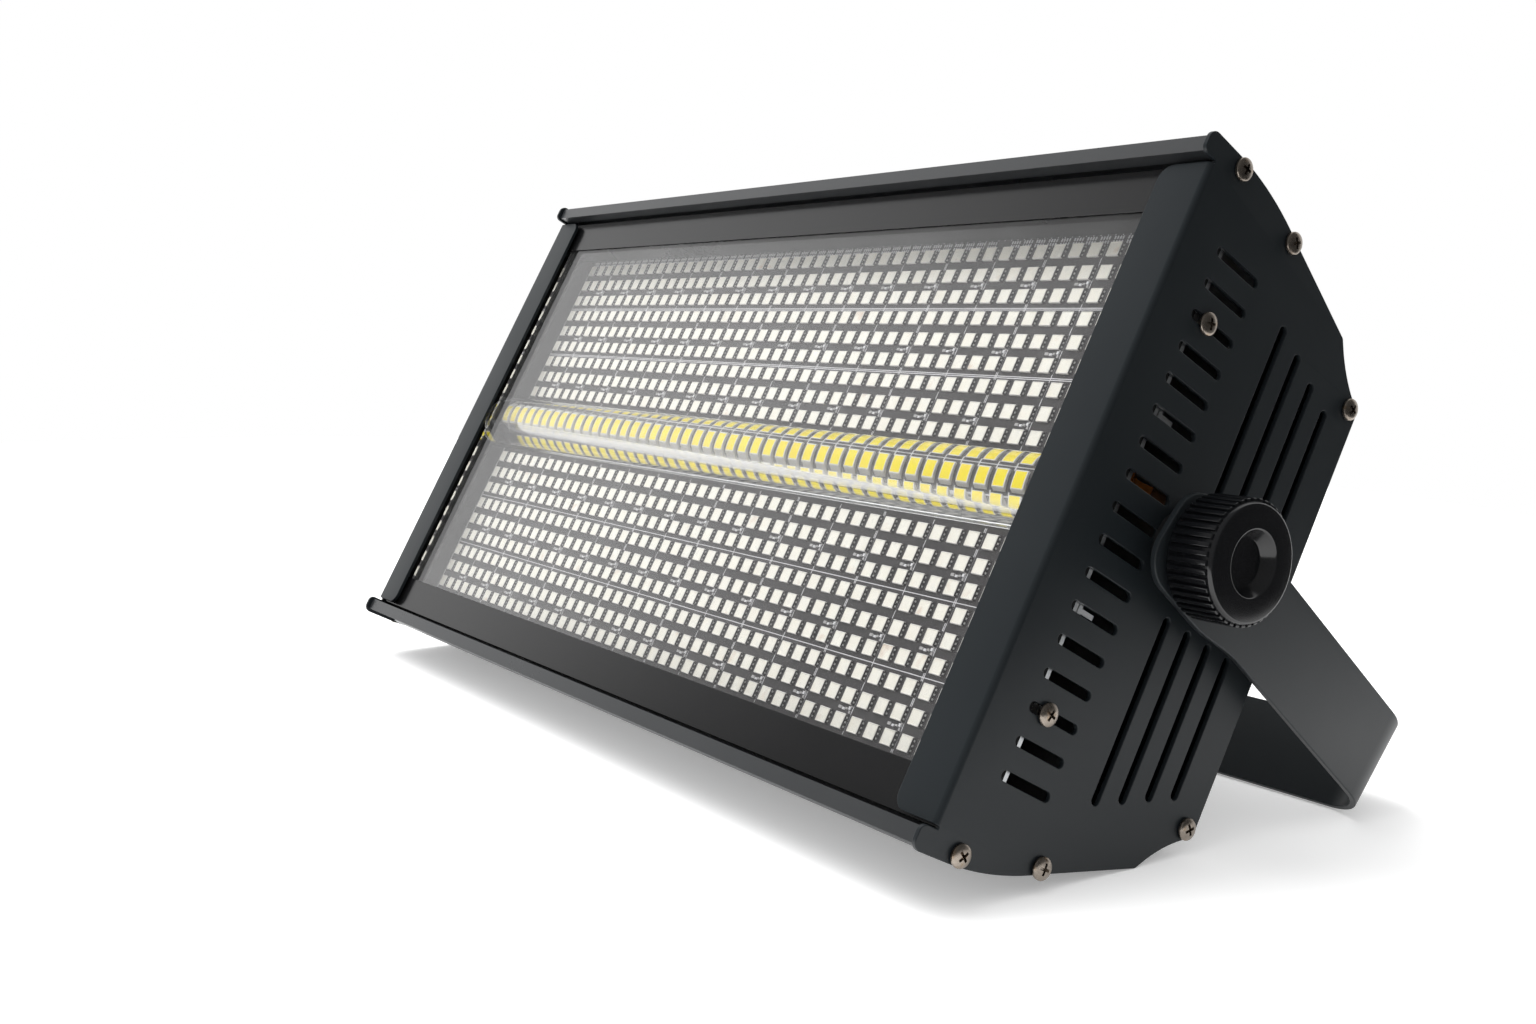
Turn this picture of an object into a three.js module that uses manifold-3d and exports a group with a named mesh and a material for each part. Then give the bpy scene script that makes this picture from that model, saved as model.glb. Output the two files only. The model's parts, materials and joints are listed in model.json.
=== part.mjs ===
// Strobe and wash light: a slotted sheet-metal head with a solid lens bar across a panel of LEDs,
// hung in a bracket that two ribbed knobs clamp. Millimetres, +Z up, the window faces -Y and up.
// It lies as it would on a stage floor: on the heels of its end plates and on the bracket's bar.
import * as THREE from 'three';
import { mergeVertices } from 'three/addons/utils/BufferGeometryUtils.js';
import Module from 'manifold-3d';

const wasm = await Module();
wasm.setup();

// The head. Inside it x runs across, y runs back from the front face and z runs up.
const headWidth = 400;
const headHalfHeight = 107.8;
const headDepth = 97.5;
const noseReach = 4.2;
const plateThickness = 1.5;
const fitGap = 0.3;
const cutOverrun = 2;

// Outline of an end plate, upper half, as shares of its depth and half height.
const noseFootShare = 0.9325;
const noseFrontShares = [0.952, 0.968];
const noseTopShare = 0.017;
const topFrontShares = [0.115, 0.995];
const topControlShares = [0.28, 0.986];
const browShares = [0.443, 0.925];
const heelShares = [0.807, 0.8015];
const scoopControlShares = [0.881, 0.7106];
const tailShares = [0.9815, 0.664];
const tailCornerShares = [1, 0.6364];
const lipFootDrop = 0.7;
const outlineSteps = 4;

// The flange that an end plate folds inwards beside the window.
const flangeWidth = 18;
const flangeDrop = 8.3;
const flangeCornerRadius = 4.5;
const foldRadius = 2;

// Cooling slots of an end plate.
const shortSlotMargin = 17;
const shortSlotPitch = 10;
const shortSlotFront = 16.8;
const shortSlotLength = 17.2;
const shortSlotWidth = 3;
const longSlotFront = 52.8;
const longSlotRearMargin = 14.4;
const longSlotWidth = 3.2;
const longSlotInnerEnd = 20;
const longSlotOuterShares = [0.69, 0.653, 0.613, 0.576];

// Pan-head screws: three in the cover's ports and one in a slot, above and below.
const portScrewDepths = [12.1, 42.2];
const portScrewRearMargin = 4.7;
const portScrewDrops = [3, 2.1, 4];
const slotScrewDepth = 22.2;
const slotScrewSkip = 2;
const screwHeadRadius = 3.4;
const screwRimHeight = 1;
const screwHeadHeight = 1.7;
const screwCrownShare = 0.6;
const screwShankRadius = 1.2;
const screwLength = 9;
const screwHoleGap = 0.25;
const screwSides = 8;

// Extruded covers over the top and the bottom, the same profile turned over.
const coverInset = 1.5;
const coverWall = 1.2;
const portRadius = 2.6;
const rearLipDrop = 7.5;
const ribDrop = 5;

// Window: the glass and the black strips that hold it above and below.
const stripFront = 1.9;
const stripThickness = 1;
const stripDrop = 7.8;
const stripHeight = 14;
const glassThickness = 3;
const glassDrop = 11.8;
const glassSeat = 3;
const endClearance = 0.6;

// LED board: rows of colour lamps, four rows of white ones on their own base in the middle, and
// the half-round lens over those. Each row of lamps is one bar here.
const boardFront = 18.4;
const boardThickness = 1.6;
const boardDrop = 19.8;
const lampPitch = 8.05;
const lampEndMargin = 15.5;
const colourRowPitch = 8;
const colourRowFirst = 16;
const colourRowMargin = 5.5;
const colourLampSize = 5;
const colourLampThickness = 1.5;
const whiteRows = 4;
const whiteRowPitch = 4.7;
const whiteLampWidth = 5.4;
const whiteLampHeight = 3.6;
const whiteLampThickness = 0.9;
const whiteBaseHeight = 18;
const whiteBaseThickness = 0.4;
const lensEndGap = 19.9;
const lensGrooveWidth = 19.4;
const lensGrooveDepth = 1.6;

// Behind the board: two T-rails, four threaded blocks and the heat sink.
const railRow = 30;
const railFlange = 8;
const railDepth = 6.5;
const railThickness = 1.5;
const blockLength = 14;
const blockDepth = 7;
const blockHeight = 12;
const sinkEndGap = 32.9;
const sinkHeight = 46;
const sinkBase = 3;
const sinkDepth = 16.5;
const sinkFins = 9;
const sinkFinThickness = 1.4;

// Chassis plate with the power supply and the driver board on its back.
const chassisFront = 37.5;
const chassisThickness = 1.5;
const airwayWidth = 70;
const airwayHeight = 12;
const airwayCentre = 90;
const airwayEdge = 17;
const supplyWidth = 215;
const supplyHeight = 115;
const supplyFanGap = 8.4;
const supplyEndGap = 28.4;
const supplyVents = 9;
const supplyVentWidth = 4;
const supplyVentLength = 60;
const supplyVentPitch = 16;
const supplyWall = 1.2;
const driverSupplyGap = 19.5;
const driverEndGap = 22.9;
const driverHeight = 100;
const circuitThickness = 1.6;
const standoffLength = 5;
const standoffRadius = 3;
const standoffInset = 7;
const capacitorRadius = 9;
const capacitorFanGap = 5.8;
const capacitorPitch = 22;
const capacitorRow = 32;
const coilRadius = 12;
const coilBore = 5;
const coilLength = 12;
const coilRow = -6;
const coilPitch = 32;
const coilCount = 2;
const switchBarInset = 20;
const switchBarDepth = 14;
const switchBarHeight = 8;
const switchBarRow = -36;

// Rear panel and the cooling fans.
const panelThickness = 1.5;
const panelCutGap = 0.6;
const fanCentre = 120;
const fanSize = 80;
const fanDepth = 15;
const fanBoreRadius = 38;
const fanCornerRadius = 4;
const fanHubRadius = 17;
const fanStrutWidth = 4;
const fanStrutDepth = 2.5;
const fanStruts = 4;
const fanBlades = 7;
const fanBladeThickness = 1.6;
const fanBladeChord = 13;
const fanBladePitch = THREE.MathUtils.degToRad(42);
const fanTipGap = 1.2;
const fanEndGap = 0.8;
const grilleRings = [19.5, 27.5, 35];
const grilleSlotWidth = 4.6;
const grilleSpokes = 4;
const grilleSlotShare = 0.84;

// Control board with the display and four push buttons.
const controlWidth = 78;
const controlHeight = 60;
const controlTopGap = 4.5;
const controlDrop = 9;
const controlPostRadius = 2.5;
const controlPostInset = 4;
const displayWidth = 46;
const displayHeight = 20;
const displayCorner = 1;
const displayRise = 12;
const displayBezel = 2;
const displayRecess = 0.4;
const displayProud = 0.5;
const buttonDrop = 12;
const buttonPitch = 14;
const buttonNames = ['menu_button', 'down_button', 'up_button', 'enter_button'];
const buttonRadius = 3;
const buttonProud = 2;
const buttonSkirtRadius = 4;
const buttonSkirtLength = 1;
const buttonCrown = 0.5;
const buttonTravel = 1;
const switchSize = 6;
const switchHeight = 2.4;

// Sockets in the rear panel: data in and out, mains in and out.
const socketFootGap = 15;
const dmxCentre = -38;
const dmxPitch = 34;
const dmxFlangeWidth = 26;
const dmxFlangeHeight = 31;
const dmxFlangeThickness = 2;
const dmxFlangeCorner = 4;
const dmxBodyRadius = 11.6;
const dmxDepth = 20;
const dmxCupRadius = 9.2;
const dmxCupDepth = 12;
const dmxPinCircle = 3.6;
const dmxPinRadius = 1.2;
const dmxPinLength = 9;
const dmxContactRadius = 1.6;
const dmxContactDepth = 10;
const dmxPins = 3;
const mainsCentre = 36;
const mainsPitch = 42;
const mainsFlangeWidth = 31;
const mainsFlangeHeight = 24;
const mainsFlangeThickness = 2.4;
const mainsFlangeCorner = 2;
const mainsBodyWidth = 27;
const mainsBodyHeight = 20;
const mainsDepth = 19;
const mainsCupWidth = 24;
const mainsCupHeight = 16.5;
const mainsCupDepth = 15;
const mainsCupChamfer = 4;
const mainsPinPitch = 7;
const mainsPinRise = 2;
const mainsPinWidth = 2;
const mainsPinHeight = 4;
const mainsPinLength = 11;
const mainsContactGap = 0.6;

// Pivot: a bolt through the end plate, a spacer disc, the bracket's arm and the ribbed knob.
const pivotDepth = 47.5;
const boltRadius = 4;
const boltHeadRadius = 7.5;
const boltHeadHeight = 5.3;
const boltSides = 12;
const boreGap = 0.3;
const spacerRadius = 13;
const spacerThickness = 6;
const knobFaceRadius = 16.6;
const knobRibRadius = 18;
const knobRibDepth = 0.9;
const knobLength = 16.9;
const knobCrown = 0.5;
const knobRibs = 44;
const knobBevel = 1.3;
const knobDishRadius = 9.5;
const knobDishFloorShare = 0.76;
const knobDishDepth = 4;
const knobSkirtLength = 1.4;
const knobBoreDepth = 10;
const knobSides = 24;
const boltEndGap = 0.6;

// Bracket: one bent strap whose arms step up a little behind the knobs.
const strapThickness = 2;
const strapWidth = 31;
const armFrontReach = 17.8;
const armCornerRadius = 10.5;
const armFrontDrop = 1.4;
const armStepRise = 2.95;
const armStepStart = 10;
const armStepEnd = 34;
const armSlope = THREE.MathUtils.degToRad(12);
const strapBendRadius = 14;
const swingClearance = 0.4;
const clampHoleRadius = 5.5;
const sideHoleRadius = 3.3;
const sideHolePitch = 60;

// Planes that several pieces share.
const plateFace = headWidth / 2;
const plateInside = plateFace - plateThickness;
const innerEnd = plateInside - endClearance;
const flangeHalfHeight = headHalfHeight - flangeDrop;
const stripOuterHeight = headHalfHeight - stripDrop;
const glassHalfHeight = headHalfHeight - glassDrop;
const glassFront = stripFront + stripThickness + fitGap;
const glassBack = glassFront + glassThickness;
const boardHalfHeight = headHalfHeight - boardDrop;
const boardBack = boardFront + boardThickness;
const lampColumns = Math.floor((innerEnd - lampEndMargin) * 2 / lampPitch);
const lampRowHalf = ((lampColumns - 1) * lampPitch) / 2;
const lensRadius = boardFront - glassBack - fitGap * 2;
const carrierFront = boardBack + fitGap;
const whiteBaseFront = boardFront - fitGap - whiteBaseThickness;
const chassisBack = chassisFront + chassisThickness;
const innerBackFront = chassisBack + fitGap;
const panelBack = headDepth - coverInset - coverWall - fitGap;
const panelFront = panelBack - panelThickness;
const fanFront = panelFront - fitGap - fanDepth;
const supplyBack = fanFront - supplyFanGap;
const supplyLeft = supplyEndGap - innerEnd;
const supplyRight = supplyLeft + supplyWidth;
const driverLeft = supplyRight + driverSupplyGap;
const driverRight = innerEnd - driverEndGap;
const driverWidth = driverRight - driverLeft;
const controlFront = panelFront - controlDrop;
const controlBack = controlFront + circuitThickness;
const socketFace = panelBack + fitGap;
const armInside = plateFace + fitGap + spacerThickness + fitGap;
const armOutside = armInside + strapThickness;
const knobBase = armOutside + fitGap;

// Each piece has a plain material of its own in one of these finishes.
const finishes = {
  blackPaint: ['#22272a', 0.5, 0.1],
  blackStrap: ['#3b3c3e', 0.48, 0.1],
  blackPlastic: ['#101112', 0.25, 0],
  nickel: ['#c9c4ba', 0.28, 1],
  aluminium: ['#b9bcbe', 0.4, 1],
  glass: ['#dfe6e8', 0.05, 0],
  acrylic: ['#f2f6f6', 0.05, 0],
  board: ['#4c4a4b', 0.6, 0],
  lampBase: ['#e8e4d0', 0.6, 0],
  zincSteel: ['#9da1a2', 0.4, 0.9],
  greenBoard: ['#1f4a30', 0.6, 0],
  nylon: ['#1b1b1c', 0.6, 0],
};

function piece(name, geometry, finishName) {
  const [color, roughness, metalness] = finishes[finishName];
  const mesh = new THREE.Mesh(
    geometry, new THREE.MeshStandardMaterial({ color, roughness, metalness }));
  mesh.name = name;
  return mesh;
}

// A closed geometry as a solid, and a solid as a geometry.
function solidOf(geometry) {
  const bare = geometry.index ? geometry.toNonIndexed() : geometry.clone();
  bare.deleteAttribute('normal');
  bare.deleteAttribute('uv');
  const merged = mergeVertices(bare);
  const corners = Array.from(merged.index.array);
  const triangles = Array.from({ length: corners.length / 3 }, (_, i) => corners.slice(i * 3, i * 3 + 3))
    .filter(([a, b, c]) => a !== b && b !== c && c !== a);
  return new wasm.Manifold(new wasm.Mesh({
    numProp: 3,
    vertProperties: new Float32Array(merged.attributes.position.array),
    triVerts: new Uint32Array(triangles.flat()),
  }));
}

function geometryOf(solid) {
  const mesh = solid.getMesh();
  const geometry = new THREE.BufferGeometry();
  geometry.setAttribute('position', new THREE.BufferAttribute(mesh.vertProperties, mesh.numProp));
  geometry.setIndex(new THREE.BufferAttribute(mesh.triVerts, 1));
  geometry.computeVertexNormals();
  return geometry;
}

function join(geometries) {
  const [first, ...others] = geometries.map(solidOf);
  return geometryOf(others.reduce((whole, next) => whole.add(next), first));
}

function cut(geometry, tools) {
  return geometryOf(tools.map(solidOf).reduce((rest, tool) => rest.subtract(tool), solidOf(geometry)));
}

// An outline in (depth, height) drawn out across the head.
function drawnAcross(shape, from, to, curveSegments = 2) {
  const geometry = new THREE.ExtrudeGeometry(
    shape, { depth: to - from, bevelEnabled: false, curveSegments });
  const axes = new THREE.Matrix4().makeBasis(
    new THREE.Vector3(0, 1, 0), new THREE.Vector3(0, 0, 1), new THREE.Vector3(1, 0, 0));
  return geometry.applyMatrix4(axes).translate(from, 0, 0);
}

// An outline in (x, height) drawn out from a front depth to a back depth.
function drawnBack(shape, front, back, curveSegments = 2) {
  const geometry = new THREE.ExtrudeGeometry(
    shape, { depth: back - front, bevelEnabled: false, curveSegments });
  return geometry.rotateX(Math.PI / 2).translate(0, back, 0);
}

function block(x0, x1, y0, y1, z0, z1) {
  const geometry = new THREE.BoxGeometry(x1 - x0, y1 - y0, z1 - z0);
  return geometry.translate((x0 + x1) / 2, (y0 + y1) / 2, (z0 + z1) / 2);
}

// A turned profile of [radius, distance] points, its axis along x or along y.
function turned(profile, sides) {
  const points = profile.map(([radius, along]) => new THREE.Vector2(radius, along));
  return geometryOf(solidOf(new THREE.LatheGeometry(points, sides)));
}

function turnedAcross(profile, sides) {
  return turned(profile, sides).rotateZ(-Math.PI / 2);
}

function rod(radius, from, to, sides) {
  return turned([[0, from], [radius, from], [radius, to], [0, to]], sides);
}

function roundedRectangle(u, v, width, height, radius, PathClass = THREE.Shape) {
  const [a, b] = [width / 2 - radius, height / 2 - radius];
  const path = new PathClass();
  path.absarc(u + a, v - b, radius, -Math.PI / 2, 0);
  path.absarc(u + a, v + b, radius, 0, Math.PI / 2);
  path.absarc(u - a, v + b, radius, Math.PI / 2, Math.PI);
  path.absarc(u - a, v - b, radius, Math.PI, Math.PI * 1.5);
  path.closePath();
  return path;
}

function circle(u, v, radius, arcs = 2, PathClass = THREE.Path) {
  const path = new PathClass();
  const step = Math.PI * 2 / arcs;
  for (let i = 0; i < arcs; i += 1) path.absarc(u, v, radius, i * step, (i + 1) * step);
  path.closePath();
  return path;
}

function slot(u0, v0, u1, v1, width) {
  const angle = Math.atan2(v1 - v0, u1 - u0);
  const path = new THREE.Path();
  path.absarc(u1, v1, width / 2, angle - Math.PI / 2, angle + Math.PI / 2);
  path.absarc(u0, v0, width / 2, angle + Math.PI / 2, angle + Math.PI * 1.5);
  path.closePath();
  return path;
}

// Upper outline of an end plate: over the nose, along the brow, down the scoop to the tail. The
// covers' outline has square corners there, a lower foot, and goes down to the middle.
function upperOutline(isRounded) {
  const at = ([depthShare, heightShare]) => [depthShare * headDepth, heightShare * headHalfHeight];
  const foot = noseFootShare * headHalfHeight - (isRounded ? 0 : lipFootDrop);
  const [frontLow, frontHigh] = noseFrontShares.map((share) => share * headHalfHeight);
  const topStart = noseTopShare * headHalfHeight;
  const path = new THREE.Path();
  path.moveTo(foldRadius, foot);
  if (isRounded) {
    path.lineTo(0, foot);
    path.quadraticCurveTo(-noseReach, foot, -noseReach, frontLow);
    path.lineTo(-noseReach, frontHigh);
    path.quadraticCurveTo(-noseReach, headHalfHeight, topStart - noseReach, headHalfHeight);
  } else {
    path.lineTo(-noseReach, foot);
    path.lineTo(-noseReach, headHalfHeight);
  }
  path.lineTo(...at(topFrontShares));
  path.quadraticCurveTo(...at(topControlShares), ...at(browShares));
  path.lineTo(...at(heelShares));
  path.quadraticCurveTo(...at(scoopControlShares), ...at(tailShares));
  if (isRounded) {
    path.quadraticCurveTo(headDepth, at(tailShares)[1], ...at(tailCornerShares));
  } else {
    path.lineTo(headDepth, at(tailShares)[1]);
    path.lineTo(headDepth, 0);
  }
  const points = path.getPoints(outlineSteps);
  return points.filter((point, i) => i === 0 || !point.equals(points[i - 1]));
}
const outline = upperOutline(true);
const squareOutline = upperOutline(false);

// A line of points drawn in towards the middle of the head by one distance.
function drawnIn(line, distance) {
  return line.map((point, i) => {
    const into = point.clone().sub(line[Math.max(i - 1, 0)]).normalize();
    const out = line[Math.min(i + 1, line.length - 1)].clone().sub(point).normalize();
    const ends = [into, out].filter((direction) => direction.lengthSq() > 0);
    const mean = ends.reduce((sum, direction) => sum.add(direction), new THREE.Vector2()).normalize();
    const stretch = Math.max(mean.dot(ends[0]), Math.SQRT1_2);
    return new THREE.Vector2(
      point.x + mean.y * distance / stretch, point.y - mean.x * distance / stretch);
  });
}

// Height of the outline over a depth behind the nose.
function outlineHeight(depth) {
  const next = outline.findIndex((point, i) => i > 0 && outline[i - 1].x <= depth && depth < point.x);
  const [a, b] = [outline[next - 1], outline[next]];
  return a.y + (b.y - a.y) * (depth - a.x) / (b.x - a.x);
}
const portPlaces = [...portScrewDepths, headDepth - portScrewRearMargin].map(
  (depth, i) => [depth, outlineHeight(depth) - portScrewDrops[i]]);
const shortSlotRows = Math.floor((flangeHalfHeight - shortSlotMargin) / shortSlotPitch);
const slotScrewPlace = [slotScrewDepth, (shortSlotRows - slotScrewSkip) * shortSlotPitch];
const screwHoleRadius = screwShankRadius + screwHoleGap;

function shortSlots() {
  return Array.from({ length: shortSlotRows * 2 + 1 }, (_, i) => {
    const height = (i - shortSlotRows) * shortSlotPitch;
    return slot(shortSlotFront, height, shortSlotFront + shortSlotLength, height, shortSlotWidth);
  });
}

function longSlots() {
  const rear = headDepth - longSlotRearMargin;
  const pitch = (rear - longSlotFront) / (longSlotOuterShares.length - 1);
  return longSlotOuterShares.flatMap((share, i) => {
    const depth = longSlotFront + i * pitch;
    return [1, -1].map((side) => slot(
      depth, side * longSlotInnerEnd, depth, side * share * headHalfHeight, longSlotWidth));
  });
}

// The right end plate: a slotted sheet with its front edge folded in beside the window.
function endPlate() {
  const lower = outline.map((point) => new THREE.Vector2(point.x, -point.y)).reverse();
  const shape = new THREE.Shape([...outline, ...lower]);
  const screwHoles = portPlaces.flatMap(
    ([depth, height]) => [1, -1].map((side) => circle(depth, side * height, screwHoleRadius)));
  shape.holes.push(
    ...shortSlots(), ...longSlots(), ...screwHoles, circle(pivotDepth, 0, boltRadius + boreGap, 6));
  const sheet = drawnAcross(shape, plateInside, plateFace);

  const foldCentre = plateFace - foldRadius;
  const fold = new THREE.Shape();
  fold.absarc(foldCentre, foldRadius, foldRadius, 0, -Math.PI / 2, true);
  fold.lineTo(foldCentre - plateThickness, 0);
  fold.lineTo(foldCentre - plateThickness, plateThickness);
  fold.absarc(foldCentre, foldRadius, foldRadius - plateThickness, -Math.PI / 2, 0);
  fold.lineTo(plateInside, foldRadius + plateThickness);
  fold.lineTo(plateFace, foldRadius + plateThickness);
  fold.closePath();
  const foldStrip = new THREE.ExtrudeGeometry(
    fold, { depth: flangeHalfHeight * 2, bevelEnabled: false, curveSegments: 2 });
  foldStrip.translate(0, 0, -flangeHalfHeight);

  const flangeInside = plateFace - flangeWidth;
  const corner = flangeHalfHeight - flangeCornerRadius;
  const flange = new THREE.Shape();
  flange.moveTo(foldCentre, -flangeHalfHeight);
  flange.lineTo(foldCentre, flangeHalfHeight);
  flange.absarc(flangeInside + flangeCornerRadius, corner, flangeCornerRadius, Math.PI / 2, Math.PI);
  flange.absarc(
    flangeInside + flangeCornerRadius, -corner, flangeCornerRadius, Math.PI, Math.PI * 1.5);
  flange.closePath();
  return join([sheet, foldStrip, drawnBack(flange, 0, plateThickness)]);
}

// The upper cover: an extrusion with a lip at the front and the back, a screw port for each
// end-plate screw, and ribs that hold the glass, the chassis plate and the rear panel.
function cover() {
  const region = (inset) => {
    const points = drawnIn(squareOutline, inset);
    return new THREE.Shape([...points, new THREE.Vector2(points[0].x, 0)]);
  };
  const rib = (front, foot) => {
    const root = outlineHeight(Math.max(front, 0)) - coverInset - coverWall / 2;
    return block(-innerEnd, innerEnd, front, front + coverWall, foot, root);
  };
  const past = innerEnd + cutOverrun;
  const rearLipFoot = tailShares[1] * headHalfHeight - rearLipDrop;
  const wall = cut(drawnAcross(region(coverInset), -innerEnd, innerEnd), [
    drawnAcross(region(coverInset + coverWall), -past, past),
    block(-past, past, -cutOverrun, headDepth + cutOverrun, -cutOverrun, rearLipFoot),
  ]);
  const ribFoot = (depth) => outlineHeight(depth) - coverInset - coverWall - ribDrop;
  const chassisRibs = [chassisFront - fitGap - coverWall, chassisBack + fitGap];
  const ribs = [
    rib(glassBack + fitGap, glassHalfHeight - glassSeat),
    ...chassisRibs.map((front) => rib(front, ribFoot(front))),
    rib(panelFront - fitGap - coverWall, rearLipFoot),
  ];
  const ports = portPlaces.map(([depth, height]) => drawnAcross(
    circle(depth, height, portRadius, 2, THREE.Shape), -innerEnd, innerEnd, 3));
  const bores = portPlaces.map(([depth, height]) => drawnAcross(
    circle(depth, height, screwHoleRadius, 2, THREE.Shape), -past, past));
  const whole = solidOf(join([wall, ...ribs, ...ports]));
  const within = whole.intersect(solidOf(drawnAcross(region(fitGap), -past, past)));
  return cut(geometryOf(within), bores);
}

function windowStrip() {
  return block(-innerEnd, innerEnd, stripFront, stripFront + stripThickness,
    stripOuterHeight - stripHeight, stripOuterHeight);
}

function windowGlass() {
  return block(-innerEnd, innerEnd, glassFront, glassBack, -glassHalfHeight, glassHalfHeight);
}

// The lens: a half-round acrylic bar, flat side on the board, with a groove over the lamps.
function lensBar() {
  const base = boardFront - fitGap;
  const profile = new THREE.Shape();
  profile.absarc(base, 0, lensRadius, Math.PI / 2, Math.PI * 1.5);
  profile.lineTo(base, -lensGrooveWidth / 2);
  profile.lineTo(base - lensGrooveDepth, -lensGrooveWidth / 2);
  profile.lineTo(base - lensGrooveDepth, lensGrooveWidth / 2);
  profile.lineTo(base, lensGrooveWidth / 2);
  profile.closePath();
  return drawnAcross(profile, lensEndGap - innerEnd, innerEnd - lensEndGap, 8);
}

// The strobe lamps: rows of white packages on their own base under the lens.
function lampStrip() {
  const half = lampRowHalf + whiteLampWidth / 2;
  const rows = Array.from({ length: whiteRows }, (_, i) => {
    const row = (i - (whiteRows - 1) / 2) * whiteRowPitch;
    return block(-half, half, whiteBaseFront - whiteLampThickness, whiteBaseFront + whiteBaseThickness / 2,
      row - whiteLampHeight / 2, row + whiteLampHeight / 2);
  });
  const base = block(-lampRowHalf - lampPitch / 2, lampRowHalf + lampPitch / 2, whiteBaseFront,
    whiteBaseFront + whiteBaseThickness, -whiteBaseHeight / 2, whiteBaseHeight / 2);
  return join([base, ...rows]);
}

// The board with its rows of colour lamps, as many as its height holds.
function ledBoard() {
  const half = lampRowHalf + colourLampSize / 2;
  const board = block(-innerEnd, innerEnd, boardFront, boardBack, -boardHalfHeight, boardHalfHeight);
  const rowCount = Math.floor(
    (boardHalfHeight - colourRowMargin - colourRowFirst) / colourRowPitch) + 1;
  const rows = Array.from({ length: rowCount }, (_, i) => colourRowFirst + i * colourRowPitch)
    .flatMap((row) => [row, -row])
    .map((row) => block(-half, half, boardFront - colourLampThickness, boardFront + boardThickness / 2,
      row - colourLampSize / 2, row + colourLampSize / 2));
  return join([board, ...rows]);
}

function boardRail() {
  const web = railThickness / 2;
  const flangeBack = carrierFront + railThickness;
  const profile = new THREE.Shape();
  profile.moveTo(carrierFront, -railFlange / 2);
  profile.lineTo(flangeBack, -railFlange / 2);
  profile.lineTo(flangeBack, -web);
  profile.lineTo(carrierFront + railDepth, -web);
  profile.lineTo(carrierFront + railDepth, web);
  profile.lineTo(flangeBack, web);
  profile.lineTo(flangeBack, railFlange / 2);
  profile.lineTo(carrierFront, railFlange / 2);
  profile.closePath();
  return drawnAcross(profile, -innerEnd, innerEnd);
}

// A threaded block behind the board that takes the slot screw.
function boardBlock() {
  const outer = plateInside - fitGap;
  const body = block(outer - blockLength, outer, carrierFront, carrierFront + blockDepth,
    -blockHeight / 2, blockHeight / 2);
  const bore = rod(screwHoleRadius, outer - screwLength, outer + cutOverrun, screwSides);
  return cut(body, [bore.rotateZ(-Math.PI / 2).translate(0, slotScrewDepth, 0)]);
}

function heatSink() {
  const half = sinkHeight / 2;
  const pitch = (sinkHeight - sinkFinThickness) / (sinkFins - 1);
  const finBack = carrierFront + sinkDepth;
  const baseBack = carrierFront + sinkBase;
  const profile = new THREE.Shape();
  profile.moveTo(carrierFront, half);
  profile.lineTo(carrierFront, -half);
  for (let i = 0; i < sinkFins; i += 1) {
    const low = i * pitch - half;
    profile.lineTo(i === 0 ? finBack : baseBack, low);
    if (i > 0) profile.lineTo(finBack, low);
    profile.lineTo(finBack, low + sinkFinThickness);
    if (i < sinkFins - 1) profile.lineTo(baseBack, low + sinkFinThickness);
  }
  profile.closePath();
  return drawnAcross(profile, sinkEndGap - innerEnd, innerEnd - sinkEndGap);
}

function chassisPlate() {
  const half = outlineHeight(chassisBack) - coverInset - coverWall - fitGap;
  const airwayRow = half - airwayEdge - airwayHeight / 2;
  const shape = roundedRectangle(0, 0, innerEnd * 2, half * 2, plateThickness);
  for (const side of [1, -1]) {
    for (const row of [1, -1]) {
      shape.holes.push(roundedRectangle(side * airwayCentre, row * airwayRow,
        airwayWidth, airwayHeight, airwayHeight / 3, THREE.Path));
    }
  }
  return drawnBack(shape, chassisFront, chassisBack, 1);
}

// The power supply's sheet-metal case, with vents in its back.
function powerSupply() {
  const caseBlock = (inset) => block(supplyLeft + inset, supplyRight - inset,
    innerBackFront + inset, supplyBack - inset, inset - supplyHeight / 2, supplyHeight / 2 - inset);
  const vents = Array.from({ length: supplyVents }, (_, i) => {
    const x = (supplyLeft + supplyRight) / 2 + (i - (supplyVents - 1) / 2) * supplyVentPitch;
    return block(x - supplyVentWidth / 2, x + supplyVentWidth / 2, supplyBack - supplyWall * 2,
      supplyBack + cutOverrun, -supplyVentLength / 2, supplyVentLength / 2);
  });
  return cut(caseBlock(0), [caseBlock(supplyWall), ...vents]);
}

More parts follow.
